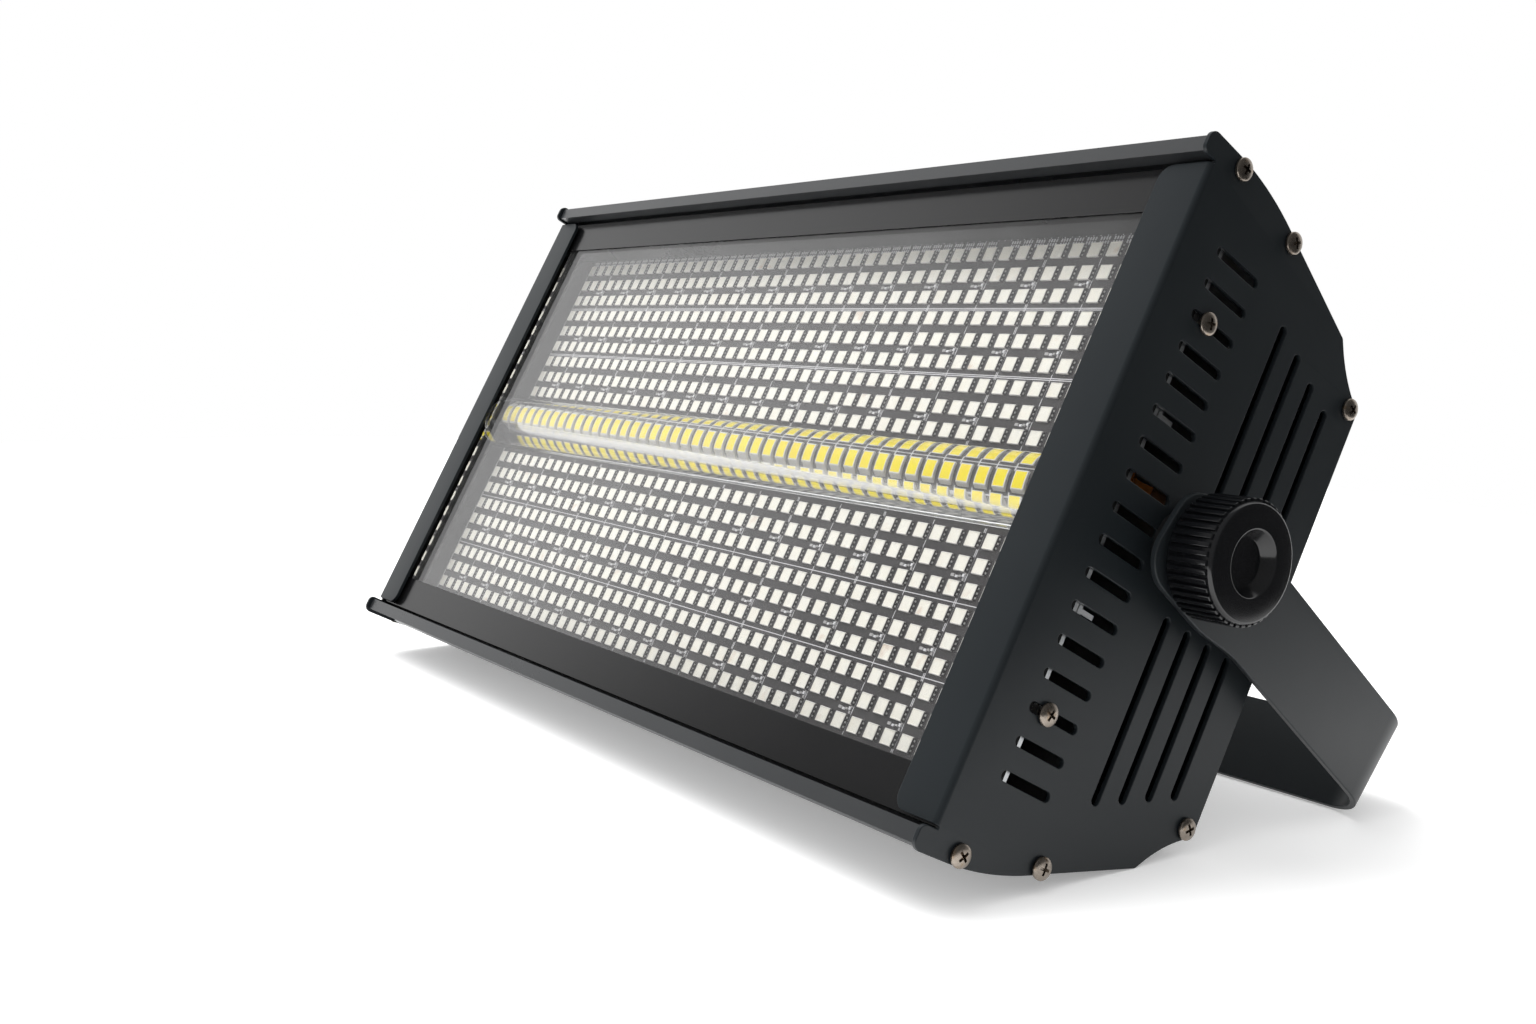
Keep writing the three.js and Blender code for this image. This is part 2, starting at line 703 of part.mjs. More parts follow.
// The LED driver: a board on four standoffs with capacitors, coils and the switching bar.
function driverBoard() {
  const front = innerBackFront + standoffLength;
  const back = front + circuitThickness;
  const sink = circuitThickness / 2;
  const middle = (driverLeft + driverRight) / 2;
  const centred = (geometry, x, z) => geometry.translate(middle + x, 0, z);
  const corners = [[1, 1], [1, -1], [-1, 1], [-1, -1]];
  const standoffs = corners.map(([u, v]) => centred(
    rod(standoffRadius, innerBackFront, front + sink, 6),
    u * (driverWidth / 2 - standoffInset), v * (driverHeight / 2 - standoffInset)));
  const capacitorCount = Math.floor((driverWidth - capacitorRadius * 2) / capacitorPitch);
  const capacitors = Array.from({ length: capacitorCount }, (_, i) => centred(
    rod(capacitorRadius, back - sink, fanFront - capacitorFanGap, 10),
    (i - (capacitorCount - 1) / 2) * capacitorPitch, capacitorRow));
  const coils = Array.from({ length: coilCount }, (_, i) => centred(
    turned([[coilBore, back - sink], [coilRadius, back - sink], [coilRadius, back + coilLength],
      [coilBore, back + coilLength], [coilBore, back - sink]], 12),
    (i - (coilCount - 1) / 2) * coilPitch, coilRow));
  const barHalf = driverWidth / 2 - switchBarInset;
  const bar = centred(block(-barHalf, barHalf, back - sink,
    back + switchBarDepth, -switchBarHeight / 2, switchBarHeight / 2), 0, switchBarRow);
  const board = centred(block(-driverWidth / 2, driverWidth / 2, front, back,
    -driverHeight / 2, driverHeight / 2), 0, 0);
  return join([board, ...standoffs, ...capacitors, ...coils, bar]);
}

const fanSides = [-1, 1];
const panelHalfHeight = portPlaces[portPlaces.length - 1][1] - portRadius - fitGap;
const controlRow = panelHalfHeight - controlTopGap - controlHeight / 2;
const displayRow = controlRow + displayRise;
const buttonRow = controlRow - buttonDrop;
const socketRow = socketFootGap + dmxFlangeHeight / 2 - panelHalfHeight;
const buttonPlaces = buttonNames.map(
  (name, i) => [(i - (buttonNames.length - 1) / 2) * buttonPitch, buttonRow]);
const dmxPlaces = [dmxCentre - dmxPitch / 2, dmxCentre + dmxPitch / 2];
const mainsPlaces = [mainsCentre - mainsPitch / 2, mainsCentre + mainsPitch / 2];

// The rear panel: fan grilles of arc slots, and cut-outs for the display, buttons and sockets.
function rearPanel() {
  const shape = roundedRectangle(0, 0, innerEnd * 2, panelHalfHeight * 2, plateThickness);
  const step = Math.PI * 2 / grilleSpokes;
  for (const side of fanSides) {
    for (const radius of grilleRings) {
      for (let i = 0; i < grilleSpokes; i += 1) {
        const start = (i + (1 - grilleSlotShare) / 2) * step;
        const arc = new THREE.Path();
        arc.absarc(side * fanCentre, 0, radius + grilleSlotWidth / 2, start, start + step * grilleSlotShare);
        arc.absarc(side * fanCentre, 0, radius - grilleSlotWidth / 2, start + step * grilleSlotShare,
          start, true);
        arc.closePath();
        shape.holes.push(arc);
      }
    }
  }
  const hole = (u, v, width, height) => roundedRectangle(
    u, v, width + panelCutGap * 2, height + panelCutGap * 2, displayCorner, THREE.Path);
  shape.holes.push(
    hole(0, displayRow, displayWidth, displayHeight),
    ...buttonPlaces.map(([x, z]) => circle(x, z, buttonRadius + panelCutGap)),
    ...dmxPlaces.map((x) => circle(x, socketRow, dmxBodyRadius + panelCutGap, 4)),
    ...mainsPlaces.map((x) => hole(x, socketRow, mainsBodyWidth, mainsBodyHeight)));
  return drawnBack(shape, panelFront, panelBack);
}

// A fan's frame, its back against the panel, with struts that carry the motor.
function fanFrame() {
  const strutBack = fanFront + fanStrutDepth;
  const shape = roundedRectangle(0, 0, fanSize, fanSize, fanCornerRadius);
  shape.holes.push(circle(0, 0, fanBoreRadius));
  const frame = drawnBack(shape, fanFront, fanFront + fanDepth, 5);
  const struts = Array.from({ length: fanStruts }, (_, i) => block(
    0, (fanBoreRadius + fanSize / 2) / 2, fanFront, strutBack, -fanStrutWidth / 2,
    fanStrutWidth / 2).rotateY(i * Math.PI * 2 / fanStruts));
  const mount = rod(fanHubRadius, fanFront, strutBack, 16);
  return join([frame, mount, ...struts]);
}

function fanRotor() {
  const front = fanFront + fanStrutDepth + fitGap;
  const back = panelFront - fanEndGap;
  const middle = (front + back) / 2;
  const tip = fanBoreRadius - fanTipGap;
  const hub = rod(fanHubRadius, front, back, 16);
  const blades = Array.from({ length: fanBlades }, (_, i) => block(
    fanHubRadius / 2, tip, -fanBladeChord / 2, fanBladeChord / 2,
    -fanBladeThickness / 2, fanBladeThickness / 2)
    .rotateX(fanBladePitch).translate(0, middle, 0).rotateY(i * Math.PI * 2 / fanBlades));
  const bounds = rod(tip, front, back, 32);
  return geometryOf(solidOf(join([hub, ...blades])).intersect(solidOf(bounds)));
}

// The control board: posts to the panel and a small switch under each button.
function controlBoard() {
  const sink = circuitThickness / 2;
  const board = block(-controlWidth / 2, controlWidth / 2, controlFront, controlBack,
    controlRow - controlHeight / 2, controlRow + controlHeight / 2);
  const posts = [[1, 1], [1, -1], [-1, 1], [-1, -1]].map(([u, v]) => rod(
    controlPostRadius, controlBack - sink, panelFront - fitGap, 6).translate(
    u * (controlWidth / 2 - controlPostInset), 0,
    controlRow + v * (controlHeight / 2 - controlPostInset)));
  const switches = buttonPlaces.map(([x, z]) => block(
    x - switchSize / 2, x + switchSize / 2, controlBack - sink, controlBack + switchHeight,
    z - switchSize / 2, z + switchSize / 2));
  return join([board, ...posts, ...switches]);
}

function displayModule() {
  const face = panelBack + displayProud;
  const body = drawnBack(roundedRectangle(
    0, displayRow, displayWidth, displayHeight, displayCorner), controlBack + fitGap, face);
  const recess = block(-displayWidth / 2 + displayBezel, displayWidth / 2 - displayBezel,
    face - displayRecess, face + cutOverrun,
    displayRow - displayHeight / 2 + displayBezel, displayRow + displayHeight / 2 - displayBezel);
  return cut(body, [recess]);
}

// A push button: its skirt stays behind the panel, its stem ends a travel above its switch.
function pushButton() {
  const front = controlBack + switchHeight + buttonTravel + fitGap;
  const face = panelBack + buttonProud;
  const skirtBack = panelFront - fitGap;
  return turned([[0, front], [buttonRadius, front], [buttonRadius, skirtBack - buttonSkirtLength],
    [buttonSkirtRadius, skirtBack - buttonSkirtLength], [buttonSkirtRadius, skirtBack],
    [buttonRadius, skirtBack], [buttonRadius, face - buttonCrown],
    [buttonRadius - buttonCrown, face], [0, face]], 8);
}

function pinPlaces() {
  return Array.from({ length: dmxPins }, (_, i) => {
    const angle = Math.PI * (1.5 + i * 2 / dmxPins);
    return [dmxPinCircle * Math.cos(angle), dmxPinCircle * Math.sin(angle)];
  });
}

function dmxShell() {
  const face = socketFace + dmxFlangeThickness;
  const flange = drawnBack(roundedRectangle(
    0, 0, dmxFlangeWidth, dmxFlangeHeight, dmxFlangeCorner), socketFace, face);
  return join([flange, rod(dmxBodyRadius, face - dmxDepth, face - dmxFlangeThickness / 2, 16)]);
}

// The data inlet: a round cup with three pins.
function dmxInlet() {
  const face = socketFace + dmxFlangeThickness;
  const floor = face - dmxCupDepth;
  const cup = cut(dmxShell(), [rod(dmxCupRadius, floor, face + cutOverrun, 16)]);
  const pins = pinPlaces().map(([x, z]) => rod(
    dmxPinRadius, floor - dmxPinRadius, floor + dmxPinLength, 6).translate(x, 0, z));
  return join([cup, ...pins]);
}

function dmxOutlet() {
  const face = socketFace + dmxFlangeThickness;
  return cut(dmxShell(), pinPlaces().map(([x, z]) => rod(
    dmxContactRadius, face - dmxContactDepth, face + cutOverrun, 10).translate(x, 0, z)));
}

function mainsShell() {
  const face = socketFace + mainsFlangeThickness;
  const flange = drawnBack(roundedRectangle(
    0, 0, mainsFlangeWidth, mainsFlangeHeight, mainsFlangeCorner), socketFace, face);
  const body = block(-mainsBodyWidth / 2, mainsBodyWidth / 2, face - mainsDepth,
    face - mainsFlangeThickness / 2, -mainsBodyHeight / 2, mainsBodyHeight / 2);
  return join([flange, body]);
}

function mainsPins() {
  return [-1, 0, 1].map((i) => [i * mainsPinPitch, i === 0 ? mainsPinRise : -mainsPinRise]);
}

// The mains inlet: a cup with two bevelled corners and three flat pins.
function mainsInlet() {
  const face = socketFace + mainsFlangeThickness;
  const floor = face - mainsCupDepth;
  const [u, v] = [mainsCupWidth / 2, mainsCupHeight / 2];
  const cup = new THREE.Shape([
    new THREE.Vector2(-u, -v), new THREE.Vector2(u, -v), new THREE.Vector2(u, v - mainsCupChamfer),
    new THREE.Vector2(u - mainsCupChamfer, v), new THREE.Vector2(mainsCupChamfer - u, v),
    new THREE.Vector2(-u, v - mainsCupChamfer)]);
  const shell = cut(mainsShell(), [drawnBack(cup, floor, face + cutOverrun)]);
  const pins = mainsPins().map(([x, z]) => block(
    x - mainsPinWidth / 2, x + mainsPinWidth / 2, floor - mainsPinWidth, floor + mainsPinLength,
    z - mainsPinHeight / 2, z + mainsPinHeight / 2));
  return join([shell, ...pins]);
}

function mainsOutlet() {
  const face = socketFace + mainsFlangeThickness;
  return cut(mainsShell(), mainsPins().map(([x, z]) => block(
    x - mainsPinWidth / 2 - mainsContactGap, x + mainsPinWidth / 2 + mainsContactGap,
    face - mainsCupDepth, face + cutOverrun,
    z - mainsPinHeight / 2 - mainsContactGap, z + mainsPinHeight / 2 + mainsContactGap)));
}

// Pieces of the right-hand pivot, their axis along x through the origin of the pivot.
const knobFace = knobBase + knobLength;
const knobRim = knobFace - knobCrown;
const boltEnd = knobBase + knobBoreDepth - boltEndGap;

function pivotBolt() {
  const seat = plateInside - fitGap;
  return turnedAcross([[0, seat - boltHeadHeight], [boltHeadRadius, seat - boltHeadHeight],
    [boltHeadRadius, seat], [boltRadius, seat], [boltRadius, boltEnd], [0, boltEnd]], boltSides);
}

function pivotSpacer() {
  const start = plateFace + fitGap;
  const bore = boltRadius + boreGap;
  return turnedAcross([[bore, start], [spacerRadius, start],
    [spacerRadius, start + spacerThickness], [bore, start + spacerThickness], [bore, start]], 16);
}

// The knob: straight ribs round a turned body with a bevelled rim and a crowned, dished face.
function clampKnob() {
  const points = Array.from({ length: knobRibs * 2 }, (_, i) => {
    const radius = i % 2 === 0 ? knobRibRadius : knobRibRadius - knobRibDepth;
    const angle = i * Math.PI / knobRibs;
    return new THREE.Vector2(radius * Math.cos(angle), radius * Math.sin(angle));
  });
  const ribShape = new THREE.Shape(points);
  ribShape.holes.push(circle(0, 0, knobDishRadius + knobBevel));
  const ribs = drawnAcross(ribShape, knobBase + knobSkirtLength, knobRim - knobBevel, 3);
  const core = knobRibRadius - knobRibDepth;
  const floor = knobFace - knobDishDepth;
  const bore = boltRadius + boreGap;
  const boreEnd = knobBase + knobBoreDepth;
  const body = turnedAcross([[bore, knobBase], [knobFaceRadius, knobBase],
    [core, knobBase + knobSkirtLength], [core, knobRim - knobBevel], [knobFaceRadius, knobRim],
    [knobDishRadius, knobFace], [knobDishRadius * knobDishFloorShare, floor], [0, floor],
    [0, boreEnd], [bore, boreEnd], [bore, knobBase]], knobSides);
  return join([body, ribs]);
}

function panScrew() {
  return turnedAcross([[0, fitGap - screwLength], [screwShankRadius, fitGap - screwLength],
    [screwShankRadius, fitGap], [screwHeadRadius, fitGap], [screwHeadRadius, fitGap + screwRimHeight],
    [screwHeadRadius * screwCrownShare, fitGap + screwHeadHeight], [0, fitGap + screwHeadHeight]],
  screwSides);
}

// The bracket's frame: its origin on the pivot, y back along the arms. Its bends swing clear of
// the end plates' noses.
const armRise = armStepRise - armFrontDrop;
const swingRadius = Math.max(
  ...outline.map((point) => Math.hypot(point.x - pivotDepth, point.y)));
const bendPastPlate = Math.max(strapBendRadius - (armInside - plateFace), 0);
const bendReach = Math.sqrt(strapBendRadius ** 2 - bendPastPlate ** 2);
const bendStart = swingRadius + swingClearance - bendReach;
const barInside = bendStart + strapBendRadius;
const barOutside = barInside + strapThickness;

function armShape() {
  const half = strapWidth / 2;
  const [low, high] = [armRise - half, armRise + half];
  const [frontLow, frontHigh] = [-armFrontDrop - half, half - armFrontDrop];
  const front = armCornerRadius - armFrontReach;
  const middle = (armStepStart + armStepEnd) / 2;
  const shape = new THREE.Shape();
  shape.moveTo(bendStart, low);
  shape.lineTo(bendStart, high);
  shape.lineTo(armStepEnd, high);
  shape.bezierCurveTo(middle, high, middle, frontHigh, armStepStart, frontHigh);
  shape.absarc(front, frontHigh - armCornerRadius, armCornerRadius, Math.PI / 2, Math.PI);
  shape.absarc(front, frontLow + armCornerRadius, armCornerRadius, Math.PI, Math.PI * 1.5);
  shape.lineTo(armStepStart, frontLow);
  shape.bezierCurveTo(middle, frontLow, middle, low, armStepEnd, low);
  shape.closePath();
  shape.holes.push(circle(0, 0, boltRadius + boreGap, 4));
  return shape;
}

function bracket() {
  const bendSide = armInside - strapBendRadius;
  const low = armRise - strapWidth / 2;
  const bend = new THREE.Shape();
  bend.absarc(bendSide, bendStart, strapBendRadius + strapThickness, 0, Math.PI / 2);
  bend.absarc(bendSide, bendStart, strapBendRadius, Math.PI / 2, 0, true);
  bend.closePath();
  const bendStrip = (side) => {
    const geometry = new THREE.ExtrudeGeometry(
      bend, { depth: strapWidth, bevelEnabled: false, curveSegments: 5 }).translate(0, 0, low);
    return side > 0 ? geometry : geometry.translate(0, 0, -armRise).rotateY(Math.PI)
      .translate(0, 0, armRise);
  };
  const arms = [1, -1].map((side) => drawnAcross(
    armShape(), side > 0 ? armInside : -armOutside, side > 0 ? armOutside : -armInside, 3));
  const bar = block(-bendSide, bendSide, barInside, barOutside, low, low + strapWidth);
  const bore = (radius, x) => rod(
    radius, barInside - cutOverrun, barOutside + cutOverrun, 16).translate(x, 0, armRise);
  return cut(join([bar, ...arms, bendStrip(1), bendStrip(-1)]), [
    bore(clampHoleRadius, 0), bore(sideHoleRadius, sideHolePitch), bore(sideHoleRadius, -sideHolePitch)]);
}

// The head, put together in its own frame.
function placed(mesh, x, y, z, turnY = 0) {
  mesh.position.set(x, y, z);
  mesh.rotation.y = turnY;
  return mesh;
}
const head = new THREE.Group();
head.add(
  placed(piece('top_cover', cover(), 'blackPaint'), 0, 0, 0),
  placed(piece('bottom_cover', cover(), 'blackPaint'), 0, 0, 0, Math.PI),
  placed(piece('upper_window_strip', windowStrip(), 'blackPaint'), 0, 0, 0),
  placed(piece('lower_window_strip', windowStrip(), 'blackPaint'), 0, 0, 0, Math.PI),
  piece('window_glass', windowGlass(), 'glass'),
  piece('lens_bar', lensBar(), 'acrylic'),
  piece('strobe_lamp_strip', lampStrip(), 'lampBase'),
  piece('led_board', ledBoard(), 'board'),
  placed(piece('upper_board_rail', boardRail(), 'aluminium'), 0, 0, railRow),
  placed(piece('lower_board_rail', boardRail(), 'aluminium'), 0, 0, -railRow),
  piece('heat_sink', heatSink(), 'aluminium'),
  piece('chassis_plate', chassisPlate(), 'zincSteel'),
  piece('power_supply', powerSupply(), 'zincSteel'),
  piece('driver_board', driverBoard(), 'greenBoard'),
  piece('rear_panel', rearPanel(), 'blackPaint'),
  piece('control_board', controlBoard(), 'greenBoard'),
  piece('display_module', displayModule(), 'blackPlastic'),
  placed(piece('dmx_in_socket', dmxInlet(), 'blackPlastic'), dmxPlaces[0], 0, socketRow),
  placed(piece('dmx_out_socket', dmxOutlet(), 'blackPlastic'), dmxPlaces[1], 0, socketRow),
  placed(piece('power_inlet', mainsInlet(), 'blackPlastic'), mainsPlaces[0], 0, socketRow),
  placed(piece('power_outlet', mainsOutlet(), 'blackPlastic'), mainsPlaces[1], 0, socketRow),
);
buttonNames.forEach((name, i) => {
  const [x, z] = buttonPlaces[i];
  head.add(placed(piece(name, pushButton(), 'blackPlastic'), x, 0, z));
});

// The two ends. The left one is the right one turned about the head's depth.
for (const [sideName, side] of [['right', 1], ['left', -1]]) {
  const end = new THREE.Group();
  end.rotation.y = side > 0 ? 0 : Math.PI;
  end.add(
    piece(`${sideName}_end_plate`, endPlate(), 'blackPaint'),
    placed(piece(`${sideName}_pivot_bolt`, pivotBolt(), 'zincSteel'), 0, pivotDepth, 0),
    placed(piece(`${sideName}_pivot_spacer`, pivotSpacer(), 'nylon'), 0, pivotDepth, 0),
    placed(piece(`${sideName}_knob`, clampKnob(), 'blackPlastic'), 0, pivotDepth, 0),
  );
  for (const [levelName, level] of [['top', 1], ['bottom', -1]]) {
    const up = level * side;
    const screwPlaces = [...portPlaces, slotScrewPlace];
    ['front', 'middle', 'rear', 'slot'].forEach((placeName, i) => {
      const [depth, height] = screwPlaces[i];
      const screw = piece(`${sideName}_${levelName}_${placeName}_screw`, panScrew(), 'nickel');
      end.add(placed(screw, plateFace, depth, up * height));
    });
    end.add(placed(piece(`${sideName}_${levelName}_board_block`, boardBlock(), 'aluminium'),
      0, 0, up * slotScrewPlace[1]));
  }
  head.add(
    end,
    placed(piece(`${sideName}_fan_frame`, fanFrame(), 'nylon'), side * fanCentre, 0, 0),
    placed(piece(`${sideName}_fan_rotor`, fanRotor(), 'nylon'), side * fanCentre, 0, 0),
  );
}

const yoke = new THREE.Group();
yoke.position.set(0, pivotDepth, 0);
yoke.rotation.x = -armSlope;
yoke.add(piece('yoke_bracket', bracket(), 'blackStrap'));
head.add(yoke);

// At rest the bar's lower edge and the heels of the end plates lie on the floor.
const barLow = new THREE.Vector2(barOutside, armRise - strapWidth / 2)
  .rotateAround(new THREE.Vector2(), -armSlope).add(new THREE.Vector2(pivotDepth, 0));
const restTilt = Math.max(
  ...outline.map((point) => Math.atan2(barLow.y + point.y, barLow.x - point.x)));
head.rotation.x = -restTilt;

const light = new THREE.Group();
light.add(head);
const bounds = new THREE.Box3().setFromObject(light, true);
const middle = bounds.getCenter(new THREE.Vector3());
head.position.set(-middle.x, -middle.y, -bounds.min.z);

export default light;
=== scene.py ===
import json
import math

import bmesh
import bpy
from mathutils import Euler, Matrix, Vector


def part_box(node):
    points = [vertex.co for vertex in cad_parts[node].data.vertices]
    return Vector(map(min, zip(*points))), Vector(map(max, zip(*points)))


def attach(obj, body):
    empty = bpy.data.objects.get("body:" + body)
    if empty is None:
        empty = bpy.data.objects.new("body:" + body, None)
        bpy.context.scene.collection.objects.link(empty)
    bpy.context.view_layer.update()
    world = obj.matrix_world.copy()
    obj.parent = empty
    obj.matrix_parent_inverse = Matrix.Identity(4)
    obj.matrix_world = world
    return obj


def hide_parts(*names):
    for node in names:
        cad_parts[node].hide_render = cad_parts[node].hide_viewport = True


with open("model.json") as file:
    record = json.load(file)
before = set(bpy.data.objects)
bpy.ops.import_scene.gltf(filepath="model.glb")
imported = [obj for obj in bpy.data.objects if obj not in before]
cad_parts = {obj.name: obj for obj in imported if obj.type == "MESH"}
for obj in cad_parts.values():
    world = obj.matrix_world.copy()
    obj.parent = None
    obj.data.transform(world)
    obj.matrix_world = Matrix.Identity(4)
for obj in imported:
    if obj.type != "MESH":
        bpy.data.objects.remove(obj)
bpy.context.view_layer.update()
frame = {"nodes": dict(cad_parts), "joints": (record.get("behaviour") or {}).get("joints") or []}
scene = bpy.context.scene
scene.view_settings.view_transform = "Standard"

# The head's own frame, in mm: x across, y back from the window's face, z up the window.
joints = {joint["name"]: joint for joint in frame["joints"]}
across = Vector((1, 0, 0))
back = Vector(joints["right_fan_spin"]["axis"])
up = across.cross(back)
pivotPoint = Vector(joints["yoke_tilt"]["pos_m"])
head = {"pivotDepth": 47.5, "halfWidth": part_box("right_end_plate")[1].x * 1000}
headTurn = Matrix((across, back, up)).transposed().to_4x4()
pivotFrame = Matrix.Translation(pivotPoint) @ headTurn @ Matrix.Scale(0.001, 4)
headFrame = pivotFrame @ Matrix.Translation((0, -head["pivotDepth"], 0))
print("frame loaded,", len(frame["nodes"]), "nodes")


# sRGB hex to linear light
def linear(code):
    channels = [int(code[i:i + 2], 16) / 255 for i in (1, 3, 5)]
    return [c / 12.92 if c <= 0.04045 else ((c + 0.055) / 1.055) ** 2.4 for c in channels] + [1]


def addNode(tree, kind, settings=None, links=None):
    node = tree.nodes.new(kind)
    for key, value in (settings or {}).items():
        if isinstance(key, int) or key in node.inputs:
            node.inputs[key].default_value = value
        else:
            setattr(node, key, value)
    for key, socket in (links or {}).items():
        tree.links.new(socket, node.inputs[key])
    return node


def newMaterial(name):
    material = bpy.data.materials.new(name)
    material.use_nodes = True
    tree = material.node_tree
    tree.nodes.clear()
    return material, tree


# What the finishes share: the detail of their noises, where tones set in and how softly a stain ends
mottle = {"detail": 4.0, "roughness": 0.6, "fineDetail": 2.0, "low": 0.3, "high": 0.7, "stainSoft": 0.12}


# A finish from its dictionary: sizes of its tones and of its grain are in mm
def makeFinish(name, look):
    material, tree = newMaterial(name)
    place = addNode(tree, "ShaderNodeTexCoord").outputs["Object"]
    tone = addNode(tree, "ShaderNodeTexNoise", {
        "Scale": 1000 / look["toneSize"], "Detail": mottle["detail"], "Roughness": mottle["roughness"]},
        {"Vector": place})
    colour = addNode(tree, "ShaderNodeMix", {
        "data_type": "RGBA", 6: linear(look["colour"]), 7: linear(look["tone"])},
        {0: tone.outputs["Fac"]})
    if "stain" in look:
        blot = addNode(tree, "ShaderNodeTexNoise", {
            "Scale": 1000 / look["stainSize"], "Detail": mottle["fineDetail"]}, {"Vector": place})
        share = addNode(tree, "ShaderNodeMapRange", {
            "From Min": look["stainFrom"], "From Max": look["stainFrom"] + mottle["stainSoft"],
            "To Max": look["stainShare"]}, {"Value": blot.outputs["Fac"]})
        colour = addNode(tree, "ShaderNodeMix", {"data_type": "RGBA", 7: linear(look["stain"])},
                         {0: share.outputs["Result"], 6: colour.outputs[2]})
    rough = addNode(tree, "ShaderNodeMapRange", {
        "From Min": mottle["low"], "From Max": mottle["high"],
        "To Min": look["roughness"] - look["roughSpread"],
        "To Max": look["roughness"] + look["roughSpread"]}, {"Value": tone.outputs["Fac"]})
    grain = addNode(tree, "ShaderNodeTexNoise", {
        "Scale": 1000 / look["grainSize"], "Detail": mottle["fineDetail"]}, {"Vector": place})
    bump = addNode(tree, "ShaderNodeBump", {"Distance": look["grainDepth"] / 1000},
                   {"Height": grain.outputs["Fac"]})
    shader = addNode(tree, "ShaderNodeBsdfPrincipled", {
        "Metallic": look.get("metallic", 0.0), "Specular IOR Level": look.get("specular", 0.5)},
        {"Base Color": colour.outputs[2], "Roughness": rough.outputs["Result"],
         "Normal": bump.outputs["Normal"]})
    addNode(tree, "ShaderNodeOutputMaterial", {}, {"Surface": shader.outputs["BSDF"]})
    return material


# Satin powder coat on steel: near black, a hint of blue, with the coat's own fine orange peel
coatedSteel = makeFinish("satinPowderCoatedSteel", {
    "colour": "#171b1e", "tone": "#1d2225", "toneSize": 60, "roughness": 0.38, "roughSpread": 0.03,
    "grainSize": 0.7, "grainDepth": 0.006, "specular": 0.3})
# The strap's coat is thicker and greyer, and scatters more light
coatedStrap = makeFinish("mattPowderCoatedStrap", {
    "colour": "#1a1e21", "tone": "#202528", "toneSize": 50, "roughness": 0.44, "roughSpread": 0.04,
    "grainSize": 0.9, "grainDepth": 0.008, "specular": 0.45})
# Powder coat on an aluminium extrusion: smoother than on sheet
coatedExtrusion = makeFinish("satinPowderCoatedExtrusion", {
    "colour": "#222426", "tone": "#2a2c2e", "toneSize": 60, "roughness": 0.3, "roughSpread": 0.04,
    "grainSize": 0.8, "grainDepth": 0.005, "specular": 0.9})
# Gloss enamel on the strips that mask the window: it mirrors the studio more the flatter the sight
maskEnamel = makeFinish("glossBlackEnamel", {
    "colour": "#0e0e0f", "tone": "#131314", "toneSize": 80, "roughness": 0.18, "roughSpread": 0.02,
    "grainSize": 1.2, "grainDepth": 0.001})
# Moulded ABS with a semi-gloss skin
knobAbs = makeFinish("mouldedBlackAbs", {
    "colour": "#0a0b0d", "tone": "#0f1012", "toneSize": 14, "roughness": 0.17, "roughSpread": 0.02,
    "grainSize": 0.8, "grainDepth": 0.0006, "specular": 0.6})
# Nylon of fans, spacers and sockets: matt, slightly grey
blackNylon = makeFinish("mouldedBlackNylon", {
    "colour": "#141415", "tone": "#1d1d1e", "toneSize": 15, "roughness": 0.5, "roughSpread": 0.06,
    "grainSize": 0.4, "grainDepth": 0.006, "specular": 0.4})
# Nickel plate on pan-head screws: warm grey mirror, browned a little where it has aged
nickelPlate = makeFinish("nickelPlatedSteel", {
    "colour": "#a59c92", "tone": "#857b71", "toneSize": 2.5, "roughness": 0.28, "roughSpread": 0.07,
    "grainSize": 0.4, "grainDepth": 0.004, "metallic": 1.0,
    "stain": "#8d7355", "stainSize": 3, "stainFrom": 0.55, "stainShare": 0.5})
# Zinc plate on bolts and cases: duller and bluer than nickel
zincPlate = makeFinish("zincPlatedSteel", {
    "colour": "#9aa0a3", "tone": "#82888c", "toneSize": 9, "roughness": 0.38, "roughSpread": 0.08,
    "grainSize": 0.6, "grainDepth": 0.005, "metallic": 1.0})
# Aluminium as it leaves the mill: pale, softly streaked
millAluminium = makeFinish("millAluminium", {
    "colour": "#c9cbcc", "tone": "#aeb1b3", "toneSize": 14, "roughness": 0.36, "roughSpread": 0.07,
    "grainSize": 0.5, "grainDepth": 0.006, "metallic": 1.0})
# Black solder resist over copper: satin, a warm dark grey
blackResist = makeFinish("blackSolderResist", {
    "colour": "#2d2b2c", "tone": "#363435", "toneSize": 7, "roughness": 0.42, "roughSpread": 0.06,
    "grainSize": 1.6, "grainDepth": 0.01})
# Painted shade: a dark matt finish put on the colour lamps' pin sides and on a strip beside each lamp,
# where their shade falls
bareLaminate = makeFinish("bareDarkLaminate", {
    "colour": "#1b191a", "tone": "#262324", "toneSize": 2, "roughness": 0.6, "roughSpread": 0.05,
    "grainSize": 0.4, "grainDepth": 0.01})
# Green solder resist on the hidden boards
greenResist = makeFinish("greenSolderResist", {
    "colour": "#1d4a2d", "tone": "#2a6340", "toneSize": 6, "roughness": 0.35, "roughSpread": 0.08,
    "grainSize": 1.8, "grainDepth": 0.02})
# White epoxy ink of the board's printed lines
silkInk = makeFinish("whiteEpoxyInk", {
    "colour": "#e6e6e8", "tone": "#c4c3c6", "toneSize": 1.5, "roughness": 0.6, "roughSpread": 0.05,
    "grainSize": 0.3, "grainDepth": 0.004})
# Ceramic chips and their tinned ends, seen as grey specks
chipCeramic = makeFinish("greyChipCeramic", {
    "colour": "#8a8889", "tone": "#c2c0c0", "toneSize": 0.9, "roughness": 0.45, "roughSpread": 0.1,
    "grainSize": 0.4, "grainDepth": 0.01})
